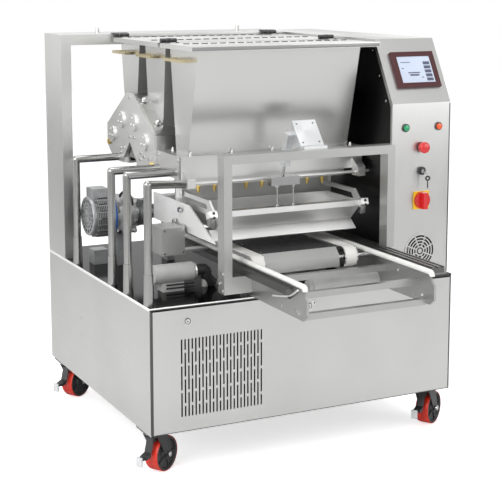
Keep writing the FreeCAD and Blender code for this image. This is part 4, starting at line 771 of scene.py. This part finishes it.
def belt_motor_fittings():
    """Bars of the small motor's cradle, and painted shade in the seam round its body."""
    for i, z in enumerate((461, 449)):
        bar(f"cradle_bar_{i}", (142, 192, z), (106, 3, 6), MACHINE, "hinge_black", 0.6)
    spun("motor_seam", [(28, -2), (30.6, -2), (30.9, 0), (30.6, 2), (28, 2)],
         spot(222, BELT_MOTOR_Y, BELT_MOTOR_Z), (1, 0, 0), MACHINE, "recess_dark", 48)


# Tray and lifting frame
def tray_fittings():
    """Hinge brackets at the tray's ends with their clamps and dark pivot holes of painted shade, and the
    bolts of the frames.
    """
    for side, x in (("left", 276), ("right", 878)):
        bar(f"tray_block_{side}", (x - 10, 100, 674), (20, 26, 30), "drip_tray", "shade_steel", 2)
        # The clamps are painted lighter, as if lit from the left.
        bar(f"tray_clamp_{side}", (x - 14, 86, 703), (28, 40, 24), "drip_tray", "side_steel", 2,
            Matrix.Rotation(-0.35, 3, "X"))
        # Dark domes of painted shade for the holes in the clamps.
        for i, z in enumerate((709, 724)):
            spun(f"tray_hole_shade_{side}_{i}", [(0, 4), (3, 4), (5, 3), (5.4, 0), (0, 0)], spot(x, 85 + 5 * i, z),
                 (0, -1, 0.3), "drip_tray", "recess_dark", 20)
    tops = [spot(x, 125, 791.5) for x in (538, 602)]
    repeat("hanger_nuts", NUTS, tops, FACING_UP, "lift_yoke", "chrome", Radius=0.0075, Height=0.007)
    apron = [spot(254.5, y, z) for y, z in ((330, 700), (380, 650), (300, 640))]
    repeat("apron_bolts", NUTS, apron, FACING_LEFT, MACHINE, "brushed", Radius=0.009, Height=0.008)
    foot = [spot(256.8, y, z) for y, z in ((-22, 478), (-22, 536), (2, 500))]
    repeat("frame_bolts", SCREWS, foot, FACING_LEFT, MACHINE, "chrome", Radius=0.006, Height=0.004)


# Conveyor
def conveyor_fittings():
    """Flanges of the front roller, the stop screw and the hand lever on the left cheek."""
    roller_y, roller_z = 16, 545
    for i, x in enumerate((419.5, 735.5, 784.5)):
        spun(f"flange_{i}", [(8, -1.6), (37.5, -1.6), (38.4, 0), (37.5, 1.6), (8, 1.6)],
             spot(x, roller_y, roller_z), (1, 0, 0), "roller_front", "bright_steel", 56)
    spun("stop_screw", [(3, 7), (6.5, 7), (9, 5), (9, 0), (3, 0)], spot(378, -430, 520), (0, -1, 0), MACHINE,
         "bright_steel", 32)
    spun("lever_hub", [(0, 10), (5, 10), (7.5, 8), (8, 0), (0, 0)], spot(360, -316, 515), (-1, 0, 0), MACHINE,
         "edge_dark", 32)
    lever = [(352, -207, 495), (352, -262, 505), (352, -318, 517), (352, -345, 530), (352, -377, 549)]
    # The lever is painted lighter, as if lit from the left.
    tube("lever_bar", lever, 3.4, MACHINE, "side_steel")


# Screws, nuts and collars
def fastenings():
    """Screws on the console, side plate, bed, cheeks and box; collars and nuts of nozzles and motor."""
    edge = [spot(945, 159, 1260), spot(945, 110, 1171), spot(945, 62, 1084)]
    side = [spot(188, y, z) for y, z in ((644, 931), (595, 934), (742, 880), (705, 884), (534, 884),
                                         (503, 873), (742, 862), (540, 860), (452, 870), (640, 1078))]
    bed = [spot(x, y, 582) for x in (432, 704) for y in (44, 190, 340, 490)]
    cheek = [spot(360, y, z) for y, z in ((-115, 522), (-322, 510), (-367, 470), (-250, 470), (-20, 470))]
    inner = [spot(835, y, z) for y, z in ((-200, 530), (-60, 500), (-300, 470))]
    box = [spot(x, 279, z) for x in (172, 242) for z in (556, 638)]
    for name, places, turn, radius, height in (
            ("console_edge_screws", edge, FACING_LEFT, 0.005, 0.003),
            ("side_plate_screws", side, FACING_LEFT, 0.0055, 0.0035),
            ("bed_screws", bed, FACING_UP, 0.004, 0.0012),
            ("cheek_screws", cheek, FACING_LEFT, 0.005, 0.0025),
            ("right_cheek_screws", inner, FACING_LEFT, 0.005, 0.0025),
            ("box_screws", box, FACING_FRONT, 0.004, 0.002)):
        repeat(name, SCREWS, places, turn, MACHINE, "chrome", Radius=radius, Height=height)
    low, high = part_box("nozzles")
    count, radius = 9, (high.y - low.y) / 2
    pitch = (high.x - low.x - 2 * radius) / (count - 1)
    tops = [Vector((low.x + radius + i * pitch, (low.y + high.y) / 2, high.z - 9 * MM)) for i in range(count)]
    repeat("nozzle_collars", COLLARS, tops, FACING_UP, MACHINE, "brass", Radius=0.0098, Height=0.0085)
    flange = [motor_spot(128, 72, math.pi / 8 + k * math.pi / 4) for k in range(8)]
    repeat("flange_nuts", NUTS, flange, FACING_RIGHT, MACHINE, "cast_grey", Radius=0.008, Height=0.007)


# Hose
def black_hose():
    """The elbow hose from the small motor down to the deck, with two rings at its root."""
    path = [(256, 220, 500), (278, 220, 502), (302, 220, 500), (306, 222, 476), (322, 226, 456),
            (334, 228, 446)]
    tube("elbow_hose", path, 21, MACHINE, "hose_black")
    for i, x in enumerate((252, 257)):
        spun(f"hose_ring_{i}", [(12, -1.4), (29.5, -1.4), (30.5, 0), (29.5, 1.4), (12, 1.4)],
             spot(x, BELT_MOTOR_Y, BELT_MOTOR_Z), (1, 0, 0), MACHINE, "bright_steel", 40)


# Studio
def studio_floor():
    """A plain pale floor that glows a little to the camera, so that it fades into the background."""
    mesh = bpy.data.meshes.new("floor")
    half = 14
    mesh.from_pydata([(-half, -half, 0), (half, -half, 0), (half, half, 0), (-half, half, 0)], [],
                     [(0, 1, 2, 3)])
    floor = bpy.data.objects.new("floor", mesh)
    bpy.context.scene.collection.objects.link(floor)
    floor.location.z = cad_low.z - 0.0005
    finish = Finish("pale_floor", (0.86, 0.86, 0.86), 0.75)
    glow = finish.add("ShaderNodeEmission")
    seen = finish.add("ShaderNodeLightPath")
    sum_node = finish.add("ShaderNodeAddShader")
    finish.link(finish.spread(seen.outputs["Is Camera Ray"], 0.0, 0.62, 0, 1), glow.inputs["Strength"])
    finish.link(finish.shader.outputs[0], sum_node.inputs[0])
    finish.link(glow.outputs[0], sum_node.inputs[1])
    output = finish.tree.nodes["Material Output"]
    finish.link(sum_node.outputs[0], output.inputs["Surface"])
    mesh.materials.append(finish.material)


def studio_world():
    """White to the camera, half as strong for soft light, and uneven in reflections."""
    world = bpy.data.worlds.new("studio")
    bpy.context.scene.world = world
    world.use_nodes = True
    sky = Nodes(world.node_tree)
    back = sky.tree.nodes["Background"]
    back.inputs["Color"].default_value = (1, 1, 1, 1)
    seen = sky.add("ShaderNodeLightPath")
    parts = sky.add("ShaderNodeSeparateXYZ")
    sky.link(sky.add("ShaderNodeTexCoord").outputs["Generated"], parts.inputs[0])

    def joined(operation, first, second):
        node = sky.add("ShaderNodeMath", operation=operation)
        sky.link(first, node.inputs[0])
        if isinstance(second, float):
            node.inputs[1].default_value = second
        else:
            sky.link(second, node.inputs[1])
        return node.outputs[0]

    # Reflections see a bright left side and a dim far right, as in a studio with one open side.
    across = parts.outputs["X"]
    side = joined("MULTIPLY", sky.spread(across, 1.22, 1.0, -0.6, 0.3),
                  sky.spread(across, 1.0, 0.42, 0.5, 0.95))
    clear = joined("MAXIMUM", seen.outputs["Is Camera Ray"], seen.outputs["Is Transmission Ray"])
    mirrored = joined("MULTIPLY", seen.outputs["Is Glossy Ray"], side)
    bright = joined("MAXIMUM", clear, mirrored)
    sky.link(joined("MAXIMUM", bright, 0.5), back.inputs["Strength"])


def lamp(name, place, target, size, watts):
    light = bpy.data.lights.new(name, "AREA")
    light.shape = "RECTANGLE"
    light.size, light.size_y = size
    light.energy = watts
    item = bpy.data.objects.new(name, light)
    item.location = place
    item.rotation_euler = (Vector(target) - Vector(place)).to_track_quat("-Z", "Y").to_euler()
    bpy.context.scene.collection.objects.link(item)


def photo_camera():
    """The photograph's view: its focal length is given in pixels of a picture 500 wide."""
    focal_pixels, picture_pixels, sensor = 1307.2, 500, 36
    data = bpy.data.cameras.new("camera")
    data.sensor_width = sensor
    data.lens = focal_pixels / picture_pixels * sensor
    data.shift_y = -0.15
    data.clip_end = 100
    camera = bpy.data.objects.new("camera", data)
    camera.location = spot(-1555.6, -3903.4, 1526.7)
    camera.rotation_euler = (math.pi / 2 - 0.1513, 0, -0.4583)
    bpy.context.scene.collection.objects.link(camera)
    bpy.context.scene.camera = camera


wheel_treads()
brake_pads()
console_fittings()
display_marks()
fastenings()
black_hose()
hanging_key()
cabinet_edges()
console_trim()
lock_faces()
lid_fittings()
head_fittings()
gearmotor_fittings()
belt_motor_fittings()
tray_fittings()
conveyor_fittings()
photo_camera()
studio_floor()
studio_world()
lamp("key", (-3.9, -2.4, 3.0), (0, 0, 0.7), (2.4, 2.4), 150)
lamp("fill", (3.0, -3.2, 2.0), (0, 0, 0.7), (2.2, 2.4), 48)
lamp("front", (-0.8, -4.2, 1.0), (0, 0, 0.75), (2.4, 1.2), 12)
lamp("left", (-4.0, 1.6, 1.3), (0, 0, 0.6), (2.6, 1.8), 20)
lamp("top", (0.2, 0.6, 4.2), (0, 0, 0.7), (3.0, 3.0), 90)
bpy.context.scene.view_settings.view_transform = "Standard"
